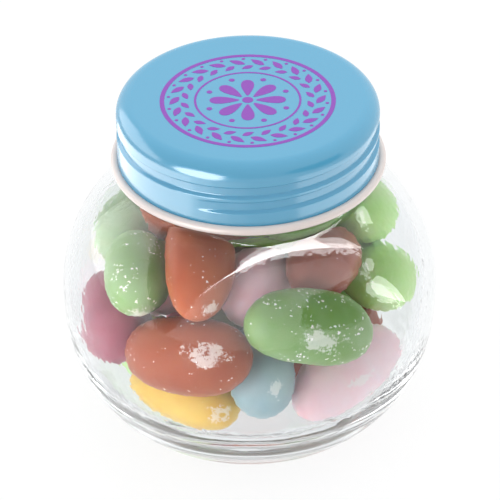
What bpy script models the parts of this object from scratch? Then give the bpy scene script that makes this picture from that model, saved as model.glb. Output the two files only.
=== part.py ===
"""Jar of jelly beans: a round glass jar, its screw lid and the heap of beans inside.

Units are metres, +Z is up. The origin is the middle of the jar's base, on the surface it
stands on, and -Y is the front. Sizes below are in millimetres and are scaled by MM.
"""
import math

import bmesh
import bpy
import numpy as np

MM = 0.001
TURN_STEPS = 44          # facets round the jar and the lid
GAP = 0.3                # clearance between pieces that touch

# ---- glass jar ----------------------------------------------------------------------
BODY_RADIUS = 30.0       # outside, at the widest
EQUATOR_Z = 24.0         # height of the widest ring above the base
UPPER_HEIGHT = 26.5      # semi-height of the outer curve above the widest ring
LOWER_HEIGHT = 27.2      # semi-height of the outer curve below it, cut off by the base
LOWER_SQUARENESS = 2.37  # exponent of the lower curve: 2 is an ellipse, more is fuller
HEEL_HEIGHT = 1.4        # height of the rounding where the side meets the base
HEEL_INSET = 2.2         # width of that rounding on the base
BORE_RADIUS = 28.2       # widest radius of the hollow
BORE_UPPER_HEIGHT = 24.8
BORE_LOWER_HEIGHT = 21.3
BORE_SQUARENESS = 2.7
NECK_RADIUS = 18.5
NECK_BORE_RADIUS = 16.5
NECK_FILLET = 1.6        # hollow rounding where the shoulder turns up into the neck
LIP_Z = 57.5
LIP_ROUND = 0.9

# ---- screw lid ----------------------------------------------------------------------
LID_TOP_Z = 58.5
LID_WALL = 0.4
SKIRT_RADIUS = 20.5
SKIRT_BOTTOM_Z = 48.0
SHOULDER_ROUND = 2.6     # rounding between the lid's top and its skirt
CURL_RADIUS = 21.1       # ring that the rolled edge turns about
CURL_Z = 47.3
CURL_ROUND = 0.5         # half thickness of the rolled edge
LID_BORE_RADIUS = 19.5   # inside of the skirt, clear of the pressed groove
GROOVE_DEPTH = 0.55
GROOVE_HALF_WIDTH = 1.1
GROOVE_PITCH = 2.6       # rise for each turn, right-handed
GROOVE_START_Z = 51.0
GROOVE_START = math.radians(-23)   # from the front, + towards the right
GROOVE_TURNS = 1.6
GROOVE_FADE = math.radians(14)     # length over which the groove runs in and out
SKIRT_LEVELS = 15        # rows of points down the grooved part of the skirt

# ---- jelly beans --------------------------------------------------------------------
# Beans that lie against the front of the glass: place of the middle, heading of the long
# axis (degrees from +X towards +Y), climb of the axis, length and thickness.
FRONT_BEANS = (
    (-22.0, 10.5, 29.0, 60, 0, 20.0, 12.0),
    (-18.5, -7.5, 30.0, 85, -5, 19.0, 10.8),
    (-23.0, -3.5, 21.0, -80, -10, 18.5, 11.0),
    (-8.5, -13.5, 33.5, 87, 15, 22.0, 11.0),
    (-9.5, -16.5, 25.0, -25, 15, 22.0, 13.0),
    (-11.0, -15.0, 9.5, -40, -5, 19.5, 10.8),
    (2.5, -15.0, 17.0, -85, -5, 17.5, 10.4),
    (14.5, -14.0, 12.5, 50, 15, 21.5, 11.4),
    (8.0, -18.5, 28.5, 20, -10, 21.0, 11.7),
    (2.0, -7.0, 28.0, 75, -5, 18.5, 10.8),
    (10.0, -4.5, 29.5, 80, -5, 18.5, 11.0),
    (20.5, 5.0, 21.5, -65, 20, 18.5, 11.4),
    (18.0, 11.5, 32.5, -50, 15, 18.5, 11.0),
    (7.0, 7.5, 29.5, 10, 5, 18.5, 11.0),
    (6.0, 14.0, 20.0, 70, 10, 18.0, 10.5),
)
# The rest fill the floor, the back and the top, laid in arcs about the jar's middle:
# count, arc radius, height, bearing of the first and step (degrees from +X towards +Y).
BACK_ARCS = (
    (4, 14.0, 10.5, 15, 52),
    (1, 1.0, 15.0, 100, 0),
    (2, 17.0, 21.0, 110, 45),
    (1, 19.0, 29.0, 95, 0),
    (3, 9.5, 41.0, 30, 80),
)
BACK_BEAN_LENGTH = 18.5
BACK_BEAN_WIDTH = 11.0
GOLDEN_ANGLE = math.radians(137.5)
SETTLE_ROUNDS = 400
HOLD_ROUNDS = 340        # rounds during which the front beans are drawn to their places
HOLD = 0.06              # how much of the way back a front bean goes in a round
SINK = 0.03              # how far a back bean drops in a round
FRONT_GIVE = 0.08        # how far a front bean yields to a back bean that yields 1
BEAN_SQUEEZE = 0.97      # a bean's firm width, as a share of its width
BEAN_DENT = 0.2          # how far two beans press into each other
HEAP_CENTRE_Z = 22.0
HEAP_GRID = 16           # squares along each side of the cube that the heap starts from
HEAP_SOFTENING = 0.2     # how far the creases between the beans are smoothed
HEAP_CORE = (19.0, 19.0, 16.0)     # half sizes of what shows between the beans


def clear_scene():
    """Remove whatever the file holds."""
    for obj in list(bpy.data.objects):
        bpy.data.objects.remove(obj, do_unlink=True)


def make_material(name, colour, roughness, metallic=0.0, transmission=0.0):
    """A Principled material with plain settings."""
    material = bpy.data.materials.new(name)
    material.use_nodes = True
    shader = material.node_tree.nodes["Principled BSDF"]
    shader.inputs["Base Color"].default_value = (*colour, 1.0)
    shader.inputs["Roughness"].default_value = roughness
    shader.inputs["Metallic"].default_value = metallic
    shader.inputs["Transmission Weight"].default_value = transmission
    return material


def add_object(name, bm, material, sharp_angle=math.radians(35)):
    """Turn a bmesh in millimetres into a smooth-shaded object in metres."""
    bmesh.ops.scale(bm, vec=(MM, MM, MM), verts=bm.verts)
    bmesh.ops.recalc_face_normals(bm, faces=bm.faces)
    mesh = bpy.data.meshes.new(name)
    bm.to_mesh(mesh)
    bm.free()
    mesh.shade_smooth()
    mesh.set_sharp_from_angle(angle=sharp_angle)
    mesh.materials.append(material)
    obj = bpy.data.objects.new(name, mesh)
    bpy.context.collection.objects.link(obj)
    return obj


def turn_profile(points):
    """Spin a profile of (radius, height) points about Z into a closed mesh."""
    bm = bmesh.new()
    verts = [bm.verts.new((radius, 0.0, height)) for radius, height in points]
    edges = [bm.edges.new(pair) for pair in zip(verts, verts[1:])]
    bmesh.ops.spin(bm, geom=verts + edges, cent=(0, 0, 0), axis=(0, 0, 1),
                   angle=2 * math.pi, steps=TURN_STEPS, use_merge=True)
    bmesh.ops.remove_doubles(bm, verts=bm.verts, dist=0.001)
    return bm


def curve_radius(height, widest, semi_height, squareness):
    """Radius of a superellipse at a height measured from its widest ring."""
    share = min(1.0, abs(height) / semi_height)
    return widest * (1.0 - share ** squareness) ** (1.0 / squareness)


def curve_height(radius, widest, semi_height, squareness):
    """Height above or below the widest ring at which a superellipse has a radius."""
    share = min(1.0, radius / widest)
    return semi_height * (1.0 - share ** squareness) ** (1.0 / squareness)


def curve_points(widest, semi_height, squareness, start, end, count):
    """Points along a superellipse between two angles, 0 at its widest ring."""
    points = []
    for angle in np.linspace(start, end, count):
        c, s = math.cos(angle), math.sin(angle)
        reach = (abs(c) ** squareness + abs(s) ** squareness) ** (-1.0 / squareness)
        points.append((widest * c * reach, semi_height * s * reach))
    return points


def curve_angle(radius, height, widest, semi_height):
    """The angle that curve_points needs to end at a point of the curve."""
    return math.atan2(height / semi_height, radius / widest)


def arc(centre, radius, start, end, count):
    """Points on a circle between two angles in degrees."""
    return [(centre[0] + radius * math.cos(a), centre[1] + radius * math.sin(a))
            for a in np.radians(np.linspace(start, end, count))]


def bezier(a, b, c, count):
    """Points on a curve that leaves a towards b and reaches c from b."""
    points = []
    for t in np.linspace(0.0, 1.0, count):
        points.append(tuple((1 - t) ** 2 * p + 2 * t * (1 - t) * q + t * t * r
                            for p, q, r in zip(a, b, c)))
    return points


def jar_profile():
    """Outside from the lip down to the base, then the hollow from its floor up."""
    fillet_radius = NECK_RADIUS + NECK_FILLET
    shoulder_z = curve_height(fillet_radius, BODY_RADIUS, UPPER_HEIGHT, 2.0)
    neck_z = curve_height(NECK_RADIUS, BODY_RADIUS, UPPER_HEIGHT, 2.0)
    neck_start = (NECK_RADIUS, EQUATOR_Z + neck_z + NECK_FILLET)
    shoulder = (fillet_radius, EQUATOR_Z + shoulder_z)
    outside = arc((NECK_RADIUS - LIP_ROUND, LIP_Z - LIP_ROUND), LIP_ROUND, 90, 0, 4)
    outside += bezier(neck_start, (NECK_RADIUS, EQUATOR_Z + neck_z), shoulder, 4)
    top_angle = curve_angle(fillet_radius, shoulder_z, BODY_RADIUS, UPPER_HEIGHT)
    upper = curve_points(BODY_RADIUS, UPPER_HEIGHT, 2.0, top_angle, 0.0, 8)
    heel_drop = EQUATOR_Z - HEEL_HEIGHT
    heel_radius = curve_radius(heel_drop, BODY_RADIUS, LOWER_HEIGHT, LOWER_SQUARENESS)
    base_radius = curve_radius(EQUATOR_Z, BODY_RADIUS, LOWER_HEIGHT, LOWER_SQUARENESS)
    heel_angle = -curve_angle(heel_radius, heel_drop, BODY_RADIUS, LOWER_HEIGHT)
    lower = curve_points(BODY_RADIUS, LOWER_HEIGHT, LOWER_SQUARENESS, 0.0, heel_angle, 9)
    outside += [(r, EQUATOR_Z + z) for r, z in upper[1:] + lower[1:]]
    outside += bezier((heel_radius, HEEL_HEIGHT), (base_radius, 0.0),
                      (base_radius - HEEL_INSET, 0.0), 4)[1:]
    outside.append((0.0, 0.0))

    bore_top = curve_height(NECK_BORE_RADIUS, BORE_RADIUS, BORE_UPPER_HEIGHT, 2.0)
    bore_angle = curve_angle(NECK_BORE_RADIUS, bore_top, BORE_RADIUS, BORE_UPPER_HEIGHT)
    hollow = curve_points(BORE_RADIUS, BORE_LOWER_HEIGHT, BORE_SQUARENESS,
                          -math.pi / 2, 0.0, 9)
    hollow += curve_points(BORE_RADIUS, BORE_UPPER_HEIGHT, 2.0, 0.0, bore_angle, 7)[1:]
    inside = [(max(r, 0.0), EQUATOR_Z + z) for r, z in hollow]
    inside[0] = (0.0, EQUATOR_Z - BORE_LOWER_HEIGHT)
    lip = arc((NECK_BORE_RADIUS + LIP_ROUND, LIP_Z - LIP_ROUND), LIP_ROUND, 180, 90, 3)
    return outside + inside + lip + [outside[0]]


def make_jar():
    """The glass jar, one open shell."""
    glass = make_material("clear_glass", (0.93, 0.96, 0.95), 0.03, transmission=1.0)
    return add_object("glass_jar", turn_profile(jar_profile()), glass)


def groove_share(bearing, height):
    """How deep the pressed groove is at a point of the skirt, from 0 to 1."""
    share = 0.0
    for turn in range(math.ceil(GROOVE_TURNS) + 1):
        run = bearing - GROOVE_START + 2 * math.pi * turn
        if not 0.0 < run < GROOVE_TURNS * 2 * math.pi:
            continue
        fade = min(1.0, run / GROOVE_FADE, (GROOVE_TURNS * 2 * math.pi - run) / GROOVE_FADE)
        middle = GROOVE_START_Z + GROOVE_PITCH * run / (2 * math.pi)
        offset = abs(height - middle) / GROOVE_HALF_WIDTH
        if offset < 1.0:
            share = max(share, fade * 0.5 * (1.0 + math.cos(math.pi * offset)))
    return share


def lid_profile():
    """Outside from the middle of the top down to the rolled edge, then the inside."""
    shoulder_centre = (SKIRT_RADIUS - SHOULDER_ROUND, LID_TOP_Z - SHOULDER_ROUND)
    skirt_top = LID_TOP_Z - SHOULDER_ROUND
    points = [(0.0, LID_TOP_Z)]
    points += arc(shoulder_centre, SHOULDER_ROUND, 90, 0, 6)
    levels = np.linspace(skirt_top, SKIRT_BOTTOM_Z + 1.0, SKIRT_LEVELS)
    points += [(SKIRT_RADIUS, z) for z in levels[1:]]
    points += [(SKIRT_RADIUS, SKIRT_BOTTOM_Z)]
    points += [(SKIRT_RADIUS + 0.2, SKIRT_BOTTOM_Z - 0.4)]
    points += arc((CURL_RADIUS, CURL_Z), CURL_ROUND, 120, -120, 7)
    points += [(SKIRT_RADIUS - LID_WALL, CURL_Z)]
    points += [(LID_BORE_RADIUS, SKIRT_BOTTOM_Z + 0.6)]
    inner_round = SHOULDER_ROUND - LID_WALL - (SKIRT_RADIUS - LID_WALL - LID_BORE_RADIUS)
    inner_centre = (LID_BORE_RADIUS - inner_round, LID_TOP_Z - LID_WALL - inner_round)
    points += arc(inner_centre, inner_round, 0, 90, 3)
    points += [(0.0, LID_TOP_Z - LID_WALL)]
    return points


def make_lid():
    """The tinplate screw lid with its pressed spiral groove and rolled edge."""
    bm = turn_profile(lid_profile())
    for vert in bm.verts:
        radius = math.hypot(vert.co.x, vert.co.y)
        on_skirt = abs(radius - SKIRT_RADIUS) < 0.01
        if not on_skirt:
            continue
        bearing = math.atan2(vert.co.x, -vert.co.y)
        depth = GROOVE_DEPTH * groove_share(bearing, vert.co.z)
        vert.co.x *= (radius - depth) / radius
        vert.co.y *= (radius - depth) / radius
    enamel = make_material("blue_enamel_tinplate", (0.17, 0.50, 0.78), 0.35, metallic=0.0)
    return add_object("screw_lid", bm, enamel)


def direction(heading, climb):
    """Unit vector for a heading and a climb in radians."""
    flat = math.cos(climb)
    return np.array([flat * math.cos(heading), flat * math.sin(heading), math.sin(climb)])


def place_beans():
    """Starting places: middles, axes, lengths and widths, the front beans first."""
    middles, axes, lengths, widths = [], [], [], []
    for x, y, z, heading, climb, length, width in FRONT_BEANS:
        middles.append((x, y, z))
        axes.append(direction(math.radians(heading), math.radians(climb)))
        lengths.append(length)
        widths.append(width)
    for count, reach, height, first, step in BACK_ARCS:
        for k in range(count):
            number = len(middles)
            bearing = math.radians(first + k * step)
            middles.append((reach * math.cos(bearing), reach * math.sin(bearing), height))
            axes.append(direction(number * GOLDEN_ANGLE, 0.5 * math.sin(number)))
            lengths.append(BACK_BEAN_LENGTH)
            widths.append(BACK_BEAN_WIDTH)
    return np.array(middles), np.array(axes), np.array(lengths), np.array(widths)


def bore_outline():
    """Points down the side of the hollow and the outward normal at each."""
    lower = curve_points(BORE_RADIUS, BORE_LOWER_HEIGHT, BORE_SQUARENESS,
                         -math.pi / 2, 0.0, 91)
    upper = curve_points(BORE_RADIUS, BORE_UPPER_HEIGHT, 2.0, 0.0, math.pi / 2, 91)
    points = np.array(lower[:-1] + upper) + (0.0, EQUATOR_Z)
    along = np.gradient(points, axis=0)
    normals = np.stack([along[:, 1], -along[:, 0]], axis=1)
    return points, normals / np.linalg.norm(normals, axis=1, keepdims=True)


def nearest_on_axes(middles, axes, halves, first, second):
    """For each pair of beans, how far along each axis the closest points lie."""
    gap = middles[first] - middles[second]
    turn = (axes[first] * axes[second]).sum(axis=1)
    along_first = (axes[first] * gap).sum(axis=1)
    along_second = (axes[second] * gap).sum(axis=1)
    spread = np.maximum(1.0 - turn * turn, 1e-6)
    s = (turn * along_second - along_first) / spread
    s = np.clip(s, -halves[first], halves[first])
    t = np.clip(turn * s + along_second, -halves[second], halves[second])
    s = np.clip(turn * t - along_first, -halves[first], halves[first])
    return s, t


def part_beans(middles, axes, halves, radii, give):
    """Push apart every two beans that press too far into each other."""
    first, second = np.triu_indices(len(middles), 1)
    s, t = nearest_on_axes(middles, axes, halves, first, second)
    between = (middles[first] + s[:, None] * axes[first]
               - middles[second] - t[:, None] * axes[second])
    distance = np.maximum(np.linalg.norm(between, axis=1), 1e-6)
    overlap = np.maximum(0.0, radii[first] + radii[second] - distance - BEAN_DENT)
    push = between * (0.6 * overlap / distance)[:, None]
    share = (give[first] / (give[first] + give[second]))[:, None]
    for index, move, reach in ((first, push * share, s), (second, push * (share - 1), t)):
        lever = (reach / (halves[index] ** 2 + 8.0))[:, None]
        np.add.at(middles, index, move)
        np.add.at(axes, index, move * lever)


def keep_inside(middles, axes, halves, radii, outline, normals):
    """Bring back the ends of every bean that reach into the glass."""
    for side in (-1, 1):
        tips = middles + side * halves[:, None] * axes
        reach = np.maximum(np.hypot(tips[:, 0], tips[:, 1]), 1e-6)
        flat = np.stack([reach, tips[:, 2]], axis=1)
        nearest = ((flat[:, None] - outline[None]) ** 2).sum(axis=-1).argmin(axis=1)
        normal = normals[nearest]
        excess = ((flat - outline[nearest]) * normal).sum(axis=1) + radii + GAP
        back = -0.5 * np.maximum(0.0, excess)[:, None]
        outward = np.stack([normal[:, 0] * tips[:, 0] / reach,
                            normal[:, 0] * tips[:, 1] / reach, normal[:, 1]], axis=1)
        middles += back * outward
        axes += side * back * outward / np.maximum(halves, 3.0)[:, None]


def settle_beans():
    """Let the beans settle into a heap that fits the hollow."""
    middles, axes, lengths, widths = place_beans()
    radii = widths / 2 * BEAN_SQUEEZE
    halves = lengths / 2 - radii
    front = len(FRONT_BEANS)
    give = np.where(np.arange(len(middles)) < front, FRONT_GIVE, 1.0)
    home, aim = middles[:front].copy(), axes[:front].copy()
    outline, normals = bore_outline()
    for number in range(SETTLE_ROUNDS):
        part_beans(middles, axes, halves, radii, give)
        keep_inside(middles, axes, halves, radii, outline, normals)
        if number < HOLD_ROUNDS:
            middles[:front] += HOLD * (home - middles[:front])
            axes[:front] += HOLD * (aim - axes[:front])
            middles[front:, 2] -= SINK
        axes /= np.linalg.norm(axes, axis=1, keepdims=True)
    return middles, axes, lengths, widths


def reach_of_ellipsoid(rays, start, middle, axis, half_length, half_width):
    """Far crossing of each ray with a bean, 0 where the ray misses it."""
    offset = start - middle

    def squash(vectors):
        along = vectors @ axis
        across = vectors - along[..., None] * axis
        return across / half_width + (along / half_length)[..., None] * axis

    ray, origin = squash(rays), squash(offset[None])[0]
    a = (ray * ray).sum(axis=1)
    b = ray @ origin
    c = origin @ origin - 1.0
    inside = b * b - a * c
    crossing = (-b + np.sqrt(np.maximum(inside, 0.0))) / a
    return np.where(inside > 0.0, np.maximum(crossing, 0.0), 0.0)


def reach_of_bore(rays, start):
    """How far each ray goes before it comes within the gap of the glass."""
    near, far = np.zeros(len(rays)), np.full(len(rays), 2 * BODY_RADIUS)
    for _ in range(40):
        middle = (near + far) / 2
        points = start + rays * middle[:, None]
        radius = np.hypot(points[:, 0], points[:, 1]) / (BORE_RADIUS - GAP)
        height = points[:, 2] - EQUATOR_Z
        above = height > 0
        semi = np.where(above, BORE_UPPER_HEIGHT, BORE_LOWER_HEIGHT) - GAP
        power = np.where(above, 2.0, BORE_SQUARENESS)
        inside = radius ** power + (np.abs(height) / semi) ** power < 1.0
        near, far = np.where(inside, middle, near), np.where(inside, far, middle)
    return near


def make_heap():
    """The heap of beans: one solid out to the outline that the beans make together."""
    bm = bmesh.new()
    bmesh.ops.create_cube(bm, size=2.0)
    bmesh.ops.subdivide_edges(bm, edges=bm.edges, cuts=HEAP_GRID - 1, use_grid_fill=True)
    grid = np.array([vert.co[:] for vert in bm.verts])
    rays = np.tan(grid * math.pi / 4)
    rays /= np.linalg.norm(rays, axis=1, keepdims=True)
    start = np.array((0.0, 0.0, HEAP_CENTRE_Z))
    reach = 1.0 / np.linalg.norm(rays / HEAP_CORE, axis=1)
    for middle, axis, length, width in zip(*settle_beans()):
        bean = reach_of_ellipsoid(rays, start, middle, axis, length / 2, width / 2)
        reach = np.maximum(reach, bean)
    reach = np.minimum(reach, reach_of_bore(rays, start))
    for vert, ray, distance in zip(bm.verts, rays, reach):
        vert.co = start + ray * distance
    bmesh.ops.smooth_vert(bm, verts=bm.verts, factor=HEAP_SOFTENING,
                          use_axis_x=True, use_axis_y=True, use_axis_z=True)
    sugar = make_material("jelly_bean_sugar", (0.55, 0.32, 0.25), 0.3)
    return add_object("jelly_bean_heap", bm, sugar, sharp_angle=math.radians(70))


def main():
    """Build the three pieces."""
    clear_scene()
    make_jar()
    make_heap()
    make_lid()


main()
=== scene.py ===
"""Looks of the jar of jelly beans: glass, lid, print, beans and studio.

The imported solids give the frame. Every piece here is built in metres in that frame, with
its sizes in millimetres as fields of the class that makes it.
"""
from __future__ import annotations

import logging
import math
from dataclasses import dataclass, field
from enum import Enum

import bmesh
import bpy
import numpy as np
from mathutils import Matrix, Vector

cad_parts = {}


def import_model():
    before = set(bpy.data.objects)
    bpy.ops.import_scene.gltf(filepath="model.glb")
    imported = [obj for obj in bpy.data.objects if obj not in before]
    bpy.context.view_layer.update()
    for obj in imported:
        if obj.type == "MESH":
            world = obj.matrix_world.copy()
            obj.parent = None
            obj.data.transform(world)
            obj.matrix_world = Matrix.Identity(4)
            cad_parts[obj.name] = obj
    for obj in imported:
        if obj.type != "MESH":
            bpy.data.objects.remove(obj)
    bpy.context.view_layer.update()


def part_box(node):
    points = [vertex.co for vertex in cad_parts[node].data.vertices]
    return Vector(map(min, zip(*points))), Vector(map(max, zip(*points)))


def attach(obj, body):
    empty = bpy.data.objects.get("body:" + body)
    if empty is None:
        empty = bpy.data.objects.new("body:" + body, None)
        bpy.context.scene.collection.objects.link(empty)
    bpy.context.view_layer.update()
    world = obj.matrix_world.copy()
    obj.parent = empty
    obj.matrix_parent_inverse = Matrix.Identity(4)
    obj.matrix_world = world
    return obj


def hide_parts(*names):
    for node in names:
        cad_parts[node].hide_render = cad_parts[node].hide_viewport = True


log = logging.getLogger("jar_of_jelly_beans")

MM = 0.001


class CadNode(str, Enum):
    """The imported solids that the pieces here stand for."""

    JAR = "glass_jar"
    LID = "screw_lid"
    HEAP = "jelly_bean_heap"


class Slot(str, Enum):
    """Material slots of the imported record."""

    GLASS = "clear_glass"
    ENAMEL = "lid_enamel"
    LACQUER = "lid_lacquer"
    INK = "lid_print"
    SHELL = "bean_shell"


class Flavour(Enum):
    """Kinds of bean, by the colour of their shell."""

    SAGE = "sage_green"
    LIME = "lime_green"
    ROSE = "rose_red"
    TOFFEE = "toffee_brown"
    # A lighter copy of the toffee shell: painted light shining through the bean from behind.
    CARAMEL = "caramel_brown"
    LEMON = "lemon_yellow"
    SKY = "sky_blue"
    PINK = "candy_pink"
    MAROON = "maroon"
    CHERRY = "cherry_red"


# ---------------------------------------------------------------------- small helpers


def srgb(code: str) -> tuple[float, float, float, float]:
    """Turn an sRGB hex value into the linear colour that shaders use.

    Args:
        code: Six hex digits, with or without a leading #.

    Returns:
        Linear red, green, blue and an alpha of 1.
    """
    digits = code.lstrip("#")
    linear = []
    for start in (0, 2, 4):
        share = int(digits[start:start + 2], 16) / 255
        linear.append(share / 12.92 if share <= 0.04045 else ((share + 0.055) / 1.055) ** 2.4)
    return (*linear, 1.0)


def per_metre(size_mm: float) -> float:
    """Scale of a texture whose features are size_mm across, on Object coordinates."""
    return 1.0 / (size_mm * MM)


def add_node(tree: bpy.types.NodeTree, kind: str, settings: dict | None = None,
             **links: object) -> bpy.types.Node:
    """Add a node, set it up and join its inputs.

    Args:
        tree: The node tree that gets the node.
        kind: The node's type, such as "ShaderNodeTexNoise".
        settings: The node's own properties by name.
        **links: Inputs by name, with _ for a space, or by in0, in1 and so on. A socket is
            linked, and anything else becomes the input's value.

    Returns:
        The new node.
    """
    node = tree.nodes.new(kind)
    for name, value in (settings or {}).items():
        setattr(node, name, value)
    for name, value in links.items():
        if name[:2] == "in" and name[2:].isdigit():
            socket = node.inputs[int(name[2:])]
        else:
            socket = node.inputs[name.replace("_", " ")]
        if isinstance(value, bpy.types.NodeSocket):
            tree.links.new(value, socket)
        else:
            socket.default_value = value
    return node


def new_material(name: str) -> tuple[bpy.types.Material, bpy.types.NodeTree, bpy.types.Node]:
    """Make a material with a Principled shader.

    Args:
        name: What the material is called.

    Returns:
        The material, its node tree and its Principled node.
    """
    material = bpy.data.materials.new(name)
    material.use_nodes = True
    tree = material.node_tree
    return material, tree, tree.nodes["Principled BSDF"]


def link_object(name: str, mesh: bpy.types.Mesh) -> bpy.types.Object:
    """Put a mesh into the scene as an object at the origin."""
    piece = bpy.data.objects.new(name, mesh)
    bpy.context.scene.collection.objects.link(piece)
    return piece


def turned_mesh(name: str, rings: np.ndarray, poles: tuple[bool, bool],
                looped: bool = False) -> bpy.types.Mesh:
    """Join rings of points into a smooth mesh whose faces point outwards.

    Args:
        name: The mesh's name.
        rings: Points in millimetres, shaped (rings, points a ring, 3). Each ring runs
            anticlockwise seen from above, and a ring outside the body lies above the next.
        poles: Whether the first and the last ring are each closed to one point.
        looped: Whether the last ring joins the first.

    Returns:
        The mesh, in metres.
    """
    count, around = rings.shape[:2]
    points = rings.reshape(-1, 3) * MM
    start = np.arange(count if looped else count - 1)[:, None] * around
    below = (start + around) % (count * around)
    here = np.arange(around)[None]
    beside = (here + 1) % around
    quads = np.stack([start + here, below + here, below + beside, start + beside],
                     axis=-1).reshape(-1, 4)
    faces = [tuple(int(i) for i in quad) for quad in quads]
    vertices = [tuple(point) for point in points]
    for end, base in ((0, 0), (1, (count - 1) * around)):
        if not poles[end]:
            continue
        middle = points[base:base + around].mean(axis=0)
        vertices.append(tuple(middle))
        tip = len(vertices) - 1
        for i in range(around):
            pair = (base + i, base + (i + 1) % around)
            faces.append((tip, *pair) if end == 0 else (tip, *reversed(pair)))
    mesh = bpy.data.meshes.new(name)
    mesh.from_pydata(vertices, [], faces)
    mesh.shade_smooth()
    mesh.validate()
    return mesh


def spin_rings(profile: np.ndarray, around: int) -> np.ndarray:
    """Turn (radius, height) points about Z into rings of points."""
    angles = np.linspace(0.0, 2 * math.pi, around, endpoint=False)
    radius, height = profile[:, 0:1], profile[:, 1:2]
    return np.stack([radius * np.cos(angles), radius * np.sin(angles),
                     np.repeat(height, around, axis=1)], axis=-1)


def arc(centre: tuple[float, float], radius: float, start: float, end: float,
        count: int) -> np.ndarray:
    """Points on a circle between two angles in degrees."""
    angles = np.radians(np.linspace(start, end, count))
    return np.stack([centre[0] + radius * np.cos(angles),
                     centre[1] + radius * np.sin(angles)], axis=1)


def straight(start: tuple[float, float], end: tuple[float, float], count: int) -> np.ndarray:
    """Points along a line, both ends included."""
    return np.linspace(start, end, count)


def bezier(start: tuple[float, float], bend: tuple[float, float], end: tuple[float, float],
           count: int) -> np.ndarray:
    """Points on a curve that leaves start towards bend and reaches end from bend."""
    t = np.linspace(0.0, 1.0, count)[:, None]
    return (1 - t) ** 2 * np.array(start) + 2 * t * (1 - t) * np.array(bend) + t * t * np.array(end)


def oval_points(widest: float, semi_height: float, squareness: float, start: float,
                end: float, count: int) -> np.ndarray:
    """Points along a superellipse between two angles, 0 at its widest ring.

    Args:
        widest: Radius at the widest ring.
        semi_height: Height of the pole above or below that ring.
        squareness: Exponent; 2 is an ellipse and more is fuller.
        start: First angle in radians.
        end: Last angle in radians.
        count: Number of points.

    Returns:
        (radius, height) points, the height measured from the widest ring.
    """
    angles = np.linspace(start, end, count)
    c, s = np.cos(angles), np.sin(angles)
    reach = (np.abs(c) ** squareness + np.abs(s) ** squareness) ** (-1.0 / squareness)
    return np.stack([np.maximum(widest * c * reach, 0.0), semi_height * s * reach], axis=1)


def oval_height(radius: float, widest: float, semi_height: float, squareness: float) -> float:
    """Height from the widest ring at which a superellipse has a radius."""
    return semi_height * (1.0 - (radius / widest) ** squareness) ** (1.0 / squareness)


def oval_radius(height: float, widest: float, semi_height: float, squareness: float) -> float:
    """Radius of a superellipse at a height from its widest ring."""
    return widest * (1.0 - (abs(height) / semi_height) ** squareness) ** (1.0 / squareness)


# ---------------------------------------------------------------------- geometry trees


class ShapeTree:
    """A Geometry Nodes tree with named inputs that is run once on a host object."""

    def __init__(self, name: str) -> None:
        """Start a tree.

        Args:
            name: What the tree is called.
        """
        self.name = name
        self.tree = bpy.data.node_groups.new(name, "GeometryNodeTree")
        self.identifiers: dict[str, str] = {}
        self.tree.interface.new_socket(name="Geometry", in_out="OUTPUT",
                                       socket_type="NodeSocketGeometry")
        self.source = self.tree.nodes.new("NodeGroupInput")
        self.geometry = self.declare("Geometry", "NodeSocketGeometry")

    def declare(self, name: str, kind: str) -> bpy.types.NodeSocket:
        """Add a named input.

        Args:
            name: What the input is called.
            kind: Its socket type.

        Returns:
            The socket that carries the input inside the tree.
        """
        item = self.tree.interface.new_socket(name=name, in_out="INPUT", socket_type=kind)
        self.identifiers[name] = item.identifier
        return self.source.outputs[name]

    def add(self, kind: str, settings: dict | None = None, **links: object) -> bpy.types.Node:
        """Add a node to this tree, as add_node does."""
        return add_node(self.tree, kind, settings, **links)

    def finish(self, geometry: bpy.types.NodeSocket, material: bpy.types.NodeSocket) -> None:
        """End the tree in Realize Instances and Set Material.

        Args:
            geometry: What has been built.
            material: The input that carries the material.
        """
        real = self.add("GeometryNodeRealizeInstances", Geometry=geometry)
        dressed = self.add("GeometryNodeSetMaterial", Geometry=real.outputs["Geometry"],
                           Material=material)
        self.add("NodeGroupOutput", Geometry=dressed.outputs["Geometry"])

    def run(self, host_mesh: bpy.types.Mesh, values: dict[str, object]) -> bpy.types.Mesh:
        """Run the tree on a mesh and keep the result as a plain mesh.

        Args:
            host_mesh: The mesh that the tree starts from.
            values: Each named input's value.

        Returns:
            The mesh that the tree makes.
        """
        host = link_object(self.name + "_host", host_mesh)
        modifier = host.modifiers.new(self.name, "NODES")
        modifier.node_group = self.tree
        for name, value in values.items():
            modifier[self.identifiers[name]] = value
        graph = bpy.context.evaluated_depsgraph_get()
        mesh = bpy.data.meshes.new_from_object(
            host.evaluated_get(graph), preserve_all_data_layers=True, depsgraph=graph)
        host.modifiers.remove(modifier)
        bpy.data.objects.remove(host)
        return mesh


# ---------------------------------------------------------------------- finishes


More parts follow.
